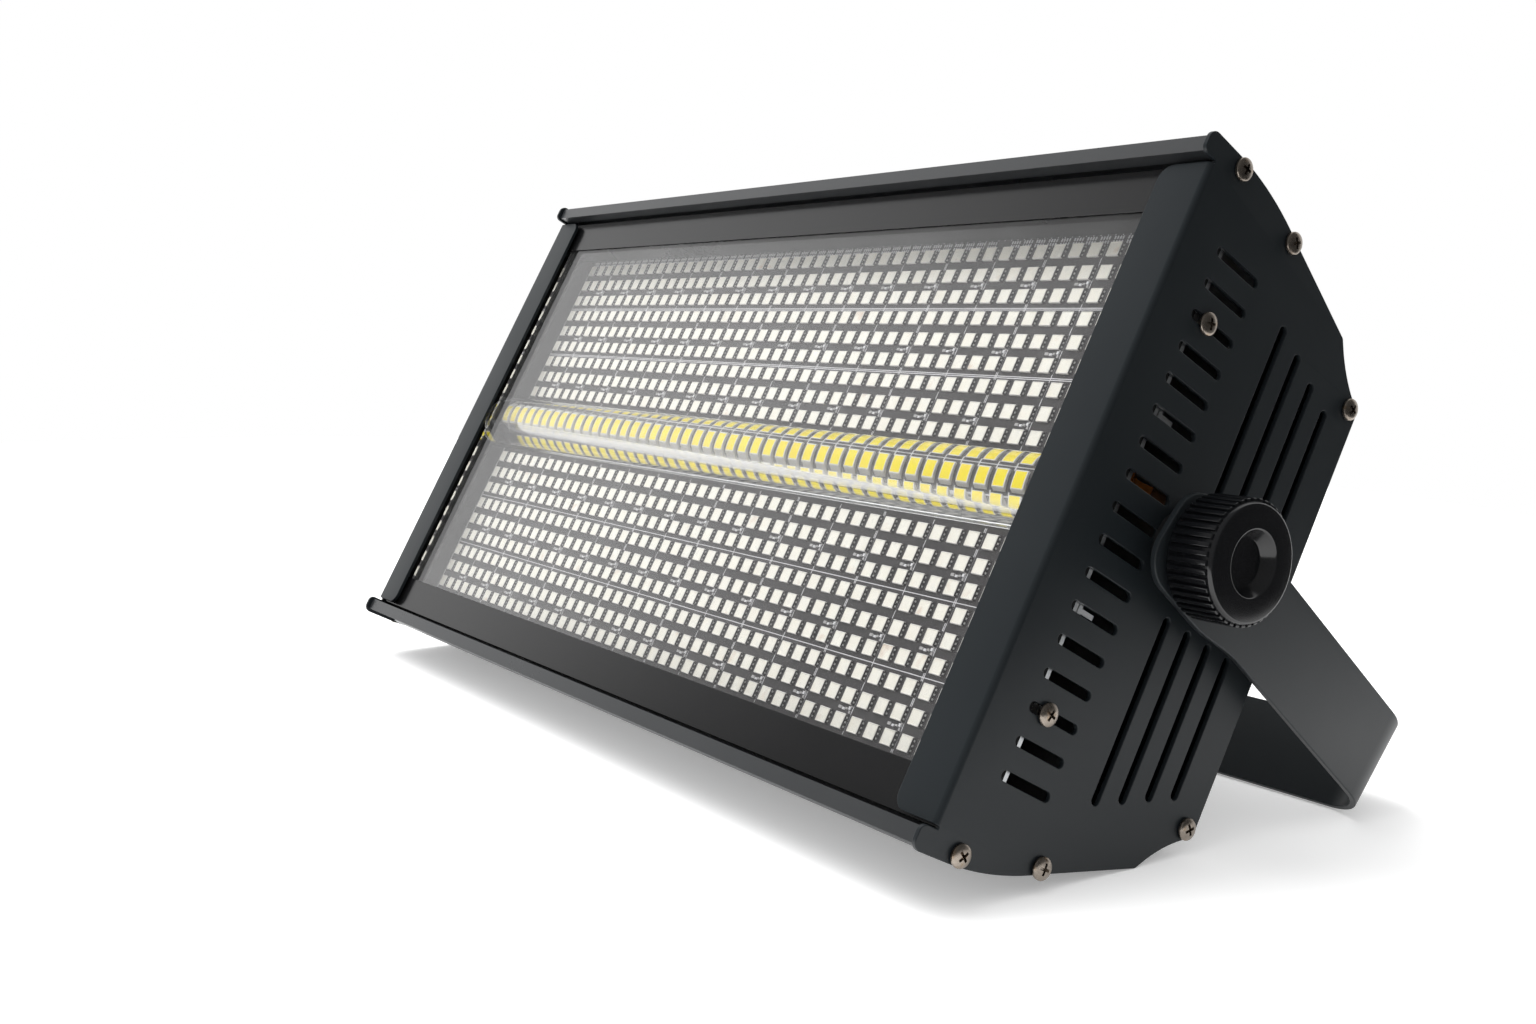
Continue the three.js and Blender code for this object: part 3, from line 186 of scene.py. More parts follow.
# Solder fillets: small bright drops
solder = makeFinish("reflowedSolder", {
    "colour": "#f0f0ee", "tone": "#c4c4c1", "toneSize": 1, "roughness": 0.35, "roughSpread": 0.08,
    "grainSize": 0.3, "grainDepth": 0.01, "metallic": 0.6})
# White polyamide of the lamp packages: the sides show a shade darker than the face
lampBody = makeFinish("whitePolyamide", {
    "colour": "#e8e6e3", "tone": "#dcd9d2", "toneSize": 6, "roughness": 0.45, "roughSpread": 0.05,
    "grainSize": 0.5, "grainDepth": 0.004})
# Milky silicone in the colour lamps: creamy, with a brownish die showing through in some
lampSilicone = makeFinish("milkySilicone", {
    "colour": "#efefe9", "tone": "#e8e3d2", "toneSize": 5, "roughness": 0.3, "roughSpread": 0.06,
    "grainSize": 1.5, "grainDepth": 0.006,
    "stain": "#c9ab92", "stainSize": 9, "stainFrom": 0.66, "stainShare": 0.6})
# Yellow phosphor in silicone in the white lamps
phosphor = makeFinish("yellowPhosphor", {
    "colour": "#fff500", "tone": "#ffdc00", "toneSize": 7, "roughness": 0.5, "roughSpread": 0.06,
    "grainSize": 0.4, "grainDepth": 0.008, "specular": 0.2})
# Closed-cell foam of the seals at the window's ends: black and dead matt
foam = makeFinish("closedCellFoam", {
    "colour": "#0b0b0b", "tone": "#121212", "toneSize": 4, "roughness": 0.8, "roughSpread": 0.05,
    "grainSize": 0.8, "grainDepth": 0.05, "specular": 0.2})
# Amber polyimide on the short flat lead behind the board
amberFilm = makeFinish("amberPolyimideFilm", {
    "colour": "#9c5c12", "tone": "#6b3c0c", "toneSize": 3, "roughness": 0.2, "roughSpread": 0.05,
    "grainSize": 1.2, "grainDepth": 0.01})


# A clear material: it refracts, lets light through to what lies behind, and may have a film of dust
def makeClear(name, look):
    material, tree = newMaterial(name)
    shader = addNode(tree, "ShaderNodeBsdfPrincipled", {
        "Base Color": linear(look["tint"]), "Roughness": look["roughness"], "IOR": look["ior"],
        "Transmission Weight": 1.0}).outputs["BSDF"]
    if "film" in look:
        place = addNode(tree, "ShaderNodeTexCoord").outputs["Object"]
        dust = addNode(tree, "ShaderNodeTexNoise", {
            "Scale": 1000 / look["dustSize"], "Detail": look["dustDetail"]}, {"Vector": place})
        film = addNode(tree, "ShaderNodeMapRange", {
            "From Min": look["dustLow"], "From Max": look["dustHigh"],
            "To Min": look["film"], "To Max": look["film"] * 2}, {"Value": dust.outputs["Fac"]})
        haze = addNode(tree, "ShaderNodeBsdfDiffuse", {"Color": linear(look["dust"])})
        shader = addNode(tree, "ShaderNodeMixShader", {}, {
            0: film.outputs["Result"], 1: shader, 2: haze.outputs["BSDF"]}).outputs["Shader"]
    path = addNode(tree, "ShaderNodeLightPath").outputs
    clear = addNode(tree, "ShaderNodeBsdfTransparent", {"Color": linear(look["shade"])})
    both = addNode(tree, "ShaderNodeMixShader", {}, {
        0: path["Is Shadow Ray"], 1: shader, 2: clear.outputs["BSDF"]})
    addNode(tree, "ShaderNodeOutputMaterial", {}, {"Surface": both.outputs["Shader"]})
    return material


# Float glass: smooth and colourless, with the faint dust of use; its cut ends are polished too
floatGlass = makeClear("floatGlass", {
    "ior": 1.5, "tint": "#ffffff", "shade": "#ffffff", "roughness": 0.0, "dust": "#e8e8e8",
    "dustSize": 30, "dustDetail": 6.0, "dustLow": 0.45, "dustHigh": 0.8, "film": 0.008})
# Cast acrylic: colourless, a hair softer than glass
castAcrylic = makeClear("castAcrylic", {
    "ior": 1.49, "tint": "#feffff", "shade": "#ffffff", "roughness": 0.01})
print("finishes made")

# How near points are merged, in mm, and at which angle in degrees flat faces are joined
merge = {"sheet": 0.002, "cut": 0.0001, "profile": 0.001, "middle": 0.01, "node": 0.01, "flat": 0.5}


# A shape in mm as a finished object that rides on a body; without a place it is in its place already
def finishPiece(name, shape, materials, body="head", place=headFrame, nodes=(), smooth=20):
    if place is not None:
        bmesh.ops.recalc_face_normals(shape, faces=shape.faces)
        bmesh.ops.transform(shape, matrix=place, verts=shape.verts)
    mesh = bpy.data.meshes.new(name)
    shape.to_mesh(mesh)
    shape.free()
    for material in materials:
        mesh.materials.append(material)
    mesh.polygons.foreach_set("use_smooth", [True] * len(mesh.polygons))
    mesh.set_sharp_from_angle(angle=math.radians(smooth))
    piece = bpy.data.objects.new(name, mesh)
    scene.collection.objects.link(piece)
    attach(piece, body)
    if nodes:
        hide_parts(*nodes)
    return piece


def bevelEdges(shape, edges, width, segments):
    bmesh.ops.bevel(shape, geom=edges, offset=width, offset_type="OFFSET", segments=segments,
                    profile=0.5, affect="EDGES", clamp_overlap=True, material=-1)


def bevelSharp(shape, width, segments=2, angle=30):
    bevelEdges(shape, [edge for edge in shape.edges if len(edge.link_faces) == 2
                       and edge.calc_face_angle() > math.radians(angle)], width, segments)


# The mesh that an object's curve or modifiers give
def bakedMesh(source):
    bpy.context.view_layer.update()
    return bpy.data.meshes.new_from_object(source.evaluated_get(bpy.context.evaluated_depsgraph_get()))


# A box in mm added to a shape, its faces given one material
def addBox(shape, centre, size, materialIndex=0):
    place = Matrix.Translation(centre) @ Matrix.Diagonal((*size, 1))
    made = bmesh.ops.create_cube(shape, size=1, matrix=place)["verts"]
    for face in {face for vert in made for face in vert.link_faces}:
        face.material_index = materialIndex
    return made


# Corners (u, v, radius) as a line of points, each corner rounded
def roundCorners(corners, steps=6):
    points = []
    for i, (u, v, radius) in enumerate(corners):
        here = Vector((u, v))
        if not radius:
            points.append(here)
            continue
        before = (Vector(corners[i - 1][:2]) - here).normalized()
        after = (Vector(corners[(i + 1) % len(corners)][:2]) - here).normalized()
        half = before.angle(after) / 2
        centre = here + (before + after).normalized() * (radius / math.sin(half))
        start = here + before * (radius / math.tan(half)) - centre
        sweep = start.angle_signed(here + after * (radius / math.tan(half)) - centre)
        for k in range(steps + 1):
            points.append(centre + Matrix.Rotation(-sweep * k / steps, 2) @ start)
    return points


# Points along a quadratic curve, between its ends
def alongCurve(start, control, end, steps=10):
    start, control, end = Vector(start), Vector(control), Vector(end)
    points = []
    for k in range(1, steps):
        t = k / steps
        point = start * (1 - t) ** 2 + control * 2 * t * (1 - t) + end * t * t
        points.append((point.x, point.y, 0))
    return points


# A flat sheet in mm with holes and softened edges: a filled 2D curve made a mesh
def cutSheet(outline, holes, thickness, edge):
    curve = bpy.data.curves.new("blank", "CURVE")
    curve.dimensions = "2D"
    curve.fill_mode = "BOTH"
    curve.extrude = thickness / 2 - edge
    curve.bevel_depth = edge
    curve.bevel_resolution = 1
    curve.offset = -edge
    for points in [outline, *holes]:
        spline = curve.splines.new("POLY")
        spline.points.add(len(points) - 1)
        for point, (u, v) in zip(spline.points, points):
            point.co = (u, v, 0, 1)
        spline.use_cyclic_u = True
    blank = bpy.data.objects.new("blank", curve)
    scene.collection.objects.link(blank)
    mesh = bakedMesh(blank)
    shape = bmesh.new()
    shape.from_mesh(mesh)
    bpy.data.objects.remove(blank)
    bpy.data.curves.remove(curve)
    bpy.data.meshes.remove(mesh)
    bmesh.ops.remove_doubles(shape, verts=shape.verts, dist=merge["sheet"])
    return shape


# Cuts a sheet across at even steps of u and rolls what lies beyond start round a bend
def bendSheet(shape, start, radius, direction, limit, steps=8):
    length = radius * math.pi / 2
    for k in range(steps + 1):
        bmesh.ops.bisect_plane(
            shape, geom=[*shape.verts, *shape.edges, *shape.faces], dist=merge["cut"],
            plane_co=(start + direction * length * k / steps, 0, 0), plane_no=(1, 0, 0))
    for vert in shape.verts:
        past = (vert.co.x - start) * direction
        if past <= 0 or abs(vert.co.y) > limit:
            continue
        turn = min(past / radius, math.pi / 2)
        reach = radius + vert.co.z
        vert.co.x = start + direction * reach * math.sin(turn)
        vert.co.z = reach * math.cos(turn) - radius - max(past - length, 0)


# Where a flat sheet stands at the right side: u runs back, v up and its thickness out, with its middle at x
def standAt(x):
    return Matrix(((0, 0, 1, x), (1, 0, 0, 0), (0, 1, 0, 0), (0, 0, 0, 1)))


# Points (x, radius) turned round the x axis into a closed body
def turnProfile(shape, profile, steps):
    line = [shape.verts.new((x, radius, 0)) for x, radius in profile]
    edges = [shape.edges.new(pair) for pair in zip(line, line[1:])]
    bmesh.ops.spin(shape, geom=[*line, *edges], cent=(0, 0, 0), axis=(1, 0, 0), angle=math.tau, steps=steps,
                   use_merge=True)
    bmesh.ops.remove_doubles(shape, verts=shape.verts, dist=merge["profile"])
    bmesh.ops.recalc_face_normals(shape, faces=shape.faces)


# A CAD node's mesh, merged and with its edges softened, in the shared frame and in metres
def mergedNode(name, edge):
    shape = bmesh.new()
    shape.from_mesh(frame["nodes"][name].data)
    bmesh.ops.remove_doubles(shape, verts=shape.verts, dist=merge["node"] / 1000)
    bmesh.ops.dissolve_limit(shape, angle_limit=math.radians(merge["flat"]), verts=shape.verts,
                             edges=shape.edges)
    bevelSharp(shape, edge / 1000)
    return shape


# End plates: a blank with its slots, folded along its front edge beside the window
plate = {
    "thickness": 1.5, "fold": 1.7, "foldHalf": 100.0, "flange": 18.0, "flangeHalf": 99.5,
    "flangeCorner": 4.5, "noseReach": 4.2, "noseFoot": 100.5, "halfHeight": 107.8, "depth": 97.5,
    "footCorner": 0.35, "noseLowCorner": 2.2, "noseCorner": 2.8, "heelCorner": 1.5, "rearCorner": 1.6,
    "topFront": (11.2, 107.3), "topControl": (27.3, 106.3), "brow": (43.2, 99.7), "heel": (78.7, 86.4),
    "scoopControl": (85.9, 76.6), "tail": (95.7, 71.6), "tailDrop": 0.3, "edge": 0.22,
    "shortSlots": 17, "shortPitch": 10.0, "shortFront": 16.8, "shortLength": 17.2, "shortWidth": 3.0,
    "longFront": 52.8, "longPitch": 10.1, "longWidth": 3.2, "longInner": 20.0,
    "longOuter": (74.4, 70.4, 66.1, 62.1), "slotRound": 0.999, "slotSteps": 5,
}
plate["foldMiddle"] = plate["fold"] - plate["thickness"] / 2


# A slot's ends are a hair short of half round, so that no two corners meet in one point
def slotLoop(u0, u1, v0, v1):
    radius = min(u1 - u0, v1 - v0) / 2 * plate["slotRound"]
    corners = [(u0, v0, radius), (u1, v0, radius), (u1, v1, radius), (u0, v1, radius)]
    return roundCorners(corners, plate["slotSteps"])


def plateBlank():
    flangeEnd = plate["fold"] - plate["foldMiddle"] * math.pi / 2 - (plate["flange"] - plate["fold"])
    top = plate["halfHeight"]
    upper = [
        (flangeEnd, plate["flangeHalf"], plate["flangeCorner"]),
        (plate["fold"], plate["flangeHalf"], plate["footCorner"]),
        (plate["fold"], plate["noseFoot"], plate["footCorner"]),
        (-plate["noseReach"], plate["noseFoot"], plate["noseLowCorner"]),
        (-plate["noseReach"], top, plate["noseCorner"]),
        (*plate["topFront"], 0),
        *alongCurve(plate["topFront"], plate["topControl"], plate["brow"]),
        (*plate["brow"], 0),
        (*plate["heel"], plate["heelCorner"]),
        *alongCurve(plate["heel"], plate["scoopControl"], plate["tail"])[1:],
        (*plate["tail"], 0),
        (plate["depth"], plate["tail"][1] - plate["tailDrop"], plate["rearCorner"]),
        (plate["depth"], 0, 0),
    ]
    lower = [(u, -v, radius) for u, v, radius in reversed(upper[:-1])]
    outline = roundCorners([*upper, *lower])
    half = plate["shortWidth"] / 2
    holes = []
    for i in range(plate["shortSlots"]):
        middle = (i - (plate["shortSlots"] - 1) / 2) * plate["shortPitch"]
        holes.append(slotLoop(plate["shortFront"] - half, plate["shortFront"] + plate["shortLength"] + half,
                              middle - half, middle + half))
    half = plate["longWidth"] / 2
    for i, outer in enumerate(plate["longOuter"]):
        middle = plate["longFront"] + i * plate["longPitch"]
        for low, high in ((plate["longInner"], outer), (-outer, -plate["longInner"])):
            holes.append(slotLoop(middle - half, middle + half, low - half, high + half))
    return cutSheet(outline, holes, plate["thickness"], plate["edge"])


def makeEndPlate(sideName, side):
    shape = plateBlank()
    bendSheet(shape, plate["fold"], plate["foldMiddle"], -1, plate["foldHalf"])
    stand = standAt(head["halfWidth"] - plate["thickness"] / 2)
    if side < 0:
        stand = Matrix.Rotation(math.pi, 4, "Y") @ stand
    bmesh.ops.transform(shape, matrix=stand, verts=shape.verts)
    finishPiece(sideName + "_folded_plate", shape, [coatedSteel], nodes=[sideName + "_end_plate"])


for sideName, side in (("right", 1), ("left", -1)):
    makeEndPlate(sideName, side)
print("end plates folded")

# Bracket: one strap blank whose ends step down behind the knobs, bent square at both ends of its bar
strap = {
    "thickness": 2.0, "width": 31.0, "frontReach": 17.8, "frontCorner": 10.5, "frontDrop": 1.4,
    "stepRise": 2.95, "stepStart": 10.0, "stepEnd": 34.0, "slope": 12.0, "armOutside": 208.6,
    "bendRadius": 14.0, "edge": 0.35, "bolt": 4.3, "clampHole": 5.5, "sideHole": 3.3, "sidePitch": 60.0,
    "overrun": 6.0, "holeSteps": 24, "sideHoleSteps": 16, "cornerSteps": 8, "bendSteps": 14,
}


def circleLoop(u, v, radius, steps=strap["holeSteps"]):
    turns = [k * math.tau / steps for k in range(steps)]
    return [Vector((u + radius * math.cos(turn), v + radius * math.sin(turn))) for turn in turns]


# The step between two stretches of the strap's edge, eased in and out
def easedStep(start, end, low, high, steps=12):
    shares = [k / steps for k in range(steps + 1)]
    return [(start + (end - start) * t, low + (high - low) * (3 * t ** 2 - 2 * t ** 3), 0) for t in shares]


def makeBracket():
    half = strap["width"] / 2
    rise = strap["stepRise"] - strap["frontDrop"]
    arm = pivotFrame @ Matrix.Rotation(-math.radians(strap["slope"]), 4, "X")
    barWay = (arm.to_3x3() @ Vector((0, 1, 0))).normalized()
    bracketMesh = frame["nodes"]["yoke_bracket"].data
    barOutside = max((vert.co - pivotPoint).dot(barWay) for vert in bracketMesh.vertices) * 1000
    armMiddle = strap["armOutside"] - strap["thickness"] / 2
    bendMiddle = strap["bendRadius"] + strap["thickness"] / 2
    bendStart = barOutside - strap["thickness"] - strap["bendRadius"]
    middle = bendStart + bendMiddle * math.pi / 2 + armMiddle - bendMiddle
    end = middle + strap["overrun"]
    frontLow, frontHigh = -strap["frontDrop"] - half, half - strap["frontDrop"]
    corners = [
        (-strap["frontReach"], frontLow, strap["frontCorner"]),
        *easedStep(strap["stepStart"], strap["stepEnd"], frontLow, rise - half),
        (end, rise - half, 0), (end, rise + half, 0),
        *easedStep(strap["stepEnd"], strap["stepStart"], rise + half, frontHigh),
        (-strap["frontReach"], frontHigh, strap["frontCorner"]),
    ]
    holes = [circleLoop(0, 0, strap["bolt"]), circleLoop(middle, rise, strap["clampHole"]),
             circleLoop(middle - strap["sidePitch"], rise, strap["sideHole"], strap["sideHoleSteps"])]
    shape = cutSheet(roundCorners(corners, strap["cornerSteps"]), holes, strap["thickness"], strap["edge"])
    bendSheet(shape, bendStart, bendMiddle, 1, strap["width"], strap["bendSteps"])
    bmesh.ops.transform(shape, matrix=standAt(armMiddle), verts=shape.verts)
    bmesh.ops.bisect_plane(shape, geom=[*shape.verts, *shape.edges, *shape.faces], dist=merge["cut"],
                           plane_co=(0, 0, 0), plane_no=(-1, 0, 0), clear_outer=True)
    bmesh.ops.mirror(shape, geom=[*shape.verts, *shape.edges, *shape.faces], axis="X",
                     merge_dist=merge["middle"])
    finishPiece("bent_strap", shape, [coatedStrap], "yoke", place=arm, nodes=["yoke_bracket"])


makeBracket()
print("bracket bent")

# Window: a pane that stops short of the end plates, so that its polished ends mirror the lamps,
# two enamelled strips and a foam seal on each end plate
window = {"halfLength": 182.4, "edge": 0.15, "sealX": 197.65, "sealThickness": 1.5, "sealFront": 6.4,
          "sealBack": 18.0, "sealHalf": 86.0, "strip": 0.25, "stripEdge": 0.05}


# The box of a node in the head's own frame, in mm
def headBox(name):
    corners = [headFrame.inverted() @ vert.co for vert in frame["nodes"][name].data.vertices]
    return [[pick(corner[i] for corner in corners) for i in range(3)] for pick in (min, max)]


def makeWindow():
    low, high = headBox("window_glass")
    shape = bmesh.new()
    addBox(shape, (0, (low[1] + high[1]) / 2, (low[2] + high[2]) / 2),
           (window["halfLength"] * 2, high[1] - low[1], high[2] - low[2]))
    bevelSharp(shape, window["edge"])
    finishPiece("window_pane", shape, [floatGlass], nodes=["window_glass"])
    # The strips lie flat on the pane, thin as a coat of enamel
    for name in ("upper_window_strip", "lower_window_strip"):
        low, high = headBox(name)
        shape = bmesh.new()
        addBox(shape, (0, high[1] - window["strip"] / 2, (low[2] + high[2]) / 2),
               (high[0] - low[0], window["strip"], high[2] - low[2]))
        bevelSharp(shape, window["stripEdge"], 1)
        finishPiece("enamel_" + name, shape, [maskEnamel], nodes=[name])
    shape = bmesh.new()
    depth = window["sealBack"] - window["sealFront"]
    for side in (-1, 1):
        addBox(shape, (side * window["sealX"], window["sealFront"] + depth / 2, 0),
               (window["sealThickness"], depth, window["sealHalf"] * 2))
    finishPiece("end_seals", shape, [foam])


makeWindow()

# Lens: a half-round bar with a groove over the white lamps
lens = {"radius": 12.1, "base": 18.3, "middle": 0.5, "halfLength": 195.0, "groove": 9.9, "grooveDepth": 2.2,
        "steps": 48, "smooth": 40}


def makeLens():
    shape = bmesh.new()
    base, radius = lens["base"], lens["radius"]
    start = shape.verts.new((-lens["halfLength"], base, -radius))
    bmesh.ops.spin(shape, geom=[start], cent=(0, base, 0), axis=(1, 0, 0), angle=-math.pi,
                   steps=lens["steps"])
    rim = sorted(shape.verts, key=lambda vert: vert.co.z)
    depth = base - lens["grooveDepth"]
    foot = [shape.verts.new((-lens["halfLength"], y, z)) for y, z in (
        (base, -lens["groove"]), (depth, -lens["groove"]), (depth, lens["groove"]), (base, lens["groove"]))]
    for a, b in zip([rim[0], *foot], [*foot, rim[-1]]):
        shape.edges.new((a, b))
    bmesh.ops.remove_doubles(shape, verts=shape.verts, dist=merge["cut"])
    face = bmesh.ops.contextual_create(shape, geom=shape.edges)["faces"]
    pushed = bmesh.ops.extrude_face_region(shape, geom=face)["geom"]
    moved = [item for item in pushed if isinstance(item, bmesh.types.BMVert)]
    bmesh.ops.translate(shape, verts=moved, vec=(lens["halfLength"] * 2, 0, 0))
    bmesh.ops.translate(shape, verts=shape.verts, vec=(0, 0, lens["middle"]))
    finishPiece("half_round_lens", shape, [castAcrylic], nodes=["lens_bar"],
                smooth=lens["smooth"])


makeLens()


# Repeats a finished piece by equal steps in mm along the head's axes
def repeat(piece, count, step):
    rows = piece.modifiers.new("rows", "ARRAY")
    rows.count = count
    rows.use_relative_offset = False
    rows.use_constant_offset = True
    rows.constant_offset_displace = headTurn.to_3x3() @ Vector(step) / 1000


# Board: black resist over an aluminium core whose cut ends stay bare
board = {"face": 18.4, "back": 20.0, "half": 88.0, "halfLength": 197.9, "edge": 0.12,
         "columns": 45, "pitch": 8.01, "startX": -177.9, "rows": 9, "cellLamps": 3,
         "upper": (17.6, 8.1), "lower": (-16.6, -8.02)}
board["left"] = board["startX"] - board["pitch"] / 2
board["length"] = board["columns"] * board["pitch"]
board["middle"] = board["left"] + board["length"] / 2
board["cell"] = board["cellLamps"] * board["pitch"]
board["cells"] = board["columns"] // board["cellLamps"]


def makeBoard():
    shape = bmesh.new()
    thickness = board["back"] - board["face"]
    addBox(shape, (0, board["face"] + thickness / 2, 0),
           (board["halfLength"] * 2, thickness, board["half"] * 2))
    bevelSharp(shape, board["edge"])
    # Resist on the broad faces, bare metal on the cut ends
    for face in shape.faces:
        face.material_index = 0 if abs(face.normal.y) > 0.9 else 1
    finishPiece("lamp_board", shape, [blackResist, millAluminium], nodes=["led_board"])


makeBoard()

# Lamps: small colour ones over the whole board, larger white ones in rows under the lens
colourLamp = {"size": 5.0, "height": 0.9, "corner": 0.16, "window": 4.3, "rim": 0.2, "dish": 0.12,
              "bare": 1.3, "bareHeight": 5.4, "bareRise": 0.03,
              "pin": 0.44, "pinPitch": 1.5, "pinRise": 0.3, "pinShape": 1.3}
whiteLamp = {"width": 5.4, "height": 3.5, "thickness": 0.9, "window": (4.4, 3.0), "rows": 4, "face": 16.3,
             "rowPitch": 4.6, "middle": -0.35, "corner": 0.1}
whiteBase = {"front": 17.2, "back": 18.35, "half": 8.6, "edge": 0.08, "line": 0.16, "lift": 0.03,
             "lineInset": 0.3, "lineShort": 1, "markWidth": 0.5, "markHeight": 1.3}


def makeColourLamps(name, firstRow, rowPitch):
    shape = bmesh.new()
    size = colourLamp["size"]
    x = board["startX"]
    addBox(shape, (x, board["face"] - colourLamp["height"] / 2, firstRow),
           (size, colourLamp["height"], size))
    bevelSharp(shape, colourLamp["corner"], 1)
    front = min(shape.faces, key=lambda face: face.calc_center_median().y)
    border = (size - colourLamp["window"]) / 2 - colourLamp["rim"]
    bmesh.ops.inset_region(shape, faces=[front], thickness=border)
    front.material_index = 1
    bmesh.ops.inset_region(shape, faces=[front], thickness=colourLamp["rim"], depth=-colourLamp["dish"])
    # Painted shade: the sides that carry the pins get the dark painted-shade finish instead of the
    # package's white
    for face in shape.faces:
        if abs(face.normal.x) > 0.9:
            face.material_index = 2
    # Painted shade: a thin dark strip on the board beside each lamp's right side, where the lamp's shade
    # falls
    bareX = x + size / 2 + colourLamp["bare"] / 2
    addBox(shape, (bareX, board["face"], firstRow),
           (colourLamp["bare"], colourLamp["bareRise"] * 2, colourLamp["bareHeight"]), 2)
    pin = colourLamp["pin"]
    for row in (-1, 0, 1):
        addBox(shape, (x + size / 2 + pin, board["face"], firstRow + row * colourLamp["pinPitch"]),
               (pin, colourLamp["pinRise"] * 2, pin * colourLamp["pinShape"]), 3)
    piece = finishPiece(name, shape, [lampBody, lampSilicone, bareLaminate, solder])
    repeat(piece, board["columns"], (board["pitch"], 0, 0))
    repeat(piece, board["rows"], (0, 0, rowPitch))


def makeWhiteLamps():
    shape = bmesh.new()
    firstRow = whiteLamp["middle"] - (whiteLamp["rows"] - 1) / 2 * whiteLamp["rowPitch"]
    addBox(shape, (board["startX"], whiteLamp["face"] + whiteLamp["thickness"] / 2, firstRow),
           (whiteLamp["width"], whiteLamp["thickness"], whiteLamp["height"]))
    bevelSharp(shape, whiteLamp["corner"], 1)
    front = min(shape.faces, key=lambda face: face.calc_center_median().y)
    bmesh.ops.inset_region(shape, faces=[front], thickness=whiteLamp["corner"])
    bmesh.ops.scale(shape, verts=front.verts, space=Matrix.Translation(-front.calc_center_median()), vec=(
        whiteLamp["window"][0] / (whiteLamp["width"] - whiteLamp["corner"] * 4), 1,
        whiteLamp["window"][1] / (whiteLamp["height"] - whiteLamp["corner"] * 4)))
    front.material_index = 1
    piece = finishPiece("white_lamp_rows", shape, [lampBody, phosphor])
    repeat(piece, board["columns"], (board["pitch"], 0, 0))
    repeat(piece, whiteLamp["rows"], (0, 0, whiteLamp["rowPitch"]))


# The white lamps' own base, with a printed line under each row and a mark between the lamps
def makeWhiteBase():
    shape = bmesh.new()
    thickness = whiteBase["back"] - whiteBase["front"]
    addBox(shape, (board["middle"], whiteBase["front"] + thickness / 2, whiteLamp["middle"]),
           (board["length"], thickness, whiteBase["half"] * 2))
    bevelSharp(shape, whiteBase["edge"])
    face = whiteBase["front"] - whiteBase["lift"] / 2
    lineEnd = whiteBase["half"] - whiteBase["lineInset"]
    for i in range(whiteLamp["rows"] + 1):
        z = (i - whiteLamp["rows"] / 2) * whiteLamp["rowPitch"]
        z = max(min(z, lineEnd), -lineEnd)
        row = z + whiteLamp["middle"]
        addBox(shape, (board["middle"], face, row),
               (board["length"] - whiteBase["lineShort"], whiteBase["lift"], whiteBase["line"]), 1)
        for k in range(board["columns"] - 1):
            x = board["startX"] + (k + 0.5) * board["pitch"]
            reach = min(whiteBase["markHeight"] / 2, whiteBase["half"] - abs(z))
            addBox(shape, (x, face, row), (whiteBase["markWidth"], whiteBase["lift"], reach * 2), 1)
    finishPiece("white_lamp_base", shape, [blackResist, silkInk], nodes=["strobe_lamp_strip"])


makeColourLamps("upper_colour_lamps", *board["upper"])
makeColourLamps("lower_colour_lamps", *board["lower"])
makeWhiteLamps()
makeWhiteBase()
print("lamps set")

# Print and small chips: a cell is three lamps by three rows, with its chips at its right between two rows.
# A chip is its x from the cell's end, its rise, its width and height, and 1 where it is white.
marks = {
    "line": 0.26, "lift": 0.05, "twin": 0.6, "across": (37.3, 61.5, -36.7, -60.8), "reach": 84.5,
    "inner": 12.4, "shift": -0.3, "chipRows": (0.5, 1.5),
    "chips": ((-6.1, 0.1, 1.5, 0.9, 0), (-4.3, -0.1, 1.1, 0.75, 1), (-2.9, 0.15, 0.9, 0.7, 0),
              (-1.5, 0.5, 0.9, 1.0, 1), (-1.0, -0.7, 0.7, 0.9, 0), (-0.9, 1.1, 0.6, 0.5, 0)),
    "chipRise": 0.45, "tick": (0.5, 0.4, 1.1), "tickPitch": 1.15, "groupPitch": 5.7, "ticks": 4,
    "tickStart": 2, "tickRows": (85.2, 86.7), "gapGroup": 50,
    "speckPitch": 3.1, "speckRow": 87.75, "speck": 0.4, "speckShape": 0.7,
}


def makeBoardPrint():
    shape = bmesh.new()
    face = board["face"]
    length = marks["reach"] - marks["inner"]
    # Every other line down the board is a twin
    for side in (-1, 1):
        for i in range(board["cells"] + 1):
            x = board["left"] + i * board["cell"]
            for shift in ([0, marks["twin"]] if i % 2 == (side + 1) // 2 else [0]):
                addBox(shape, (x + marks["shift"] - shift, face, side * (marks["inner"] + length / 2)),
                       (marks["line"], marks["lift"], length))
    for z in marks["across"]:
        for shift in ([0, marks["twin"]] if z > 0 else [0]):
            addBox(shape, (board["middle"], face, z + shift),
                   (board["length"], marks["lift"], marks["line"]))
    for i in range(round(board["length"] / marks["speckPitch"])):
        x = board["left"] + i * marks["speckPitch"]
        addBox(shape, (x, face, marks["speckRow"]),
               (marks["speck"], marks["lift"], marks["speck"] * marks["speckShape"]))
    finishPiece("printed_lines", shape, [silkInk])


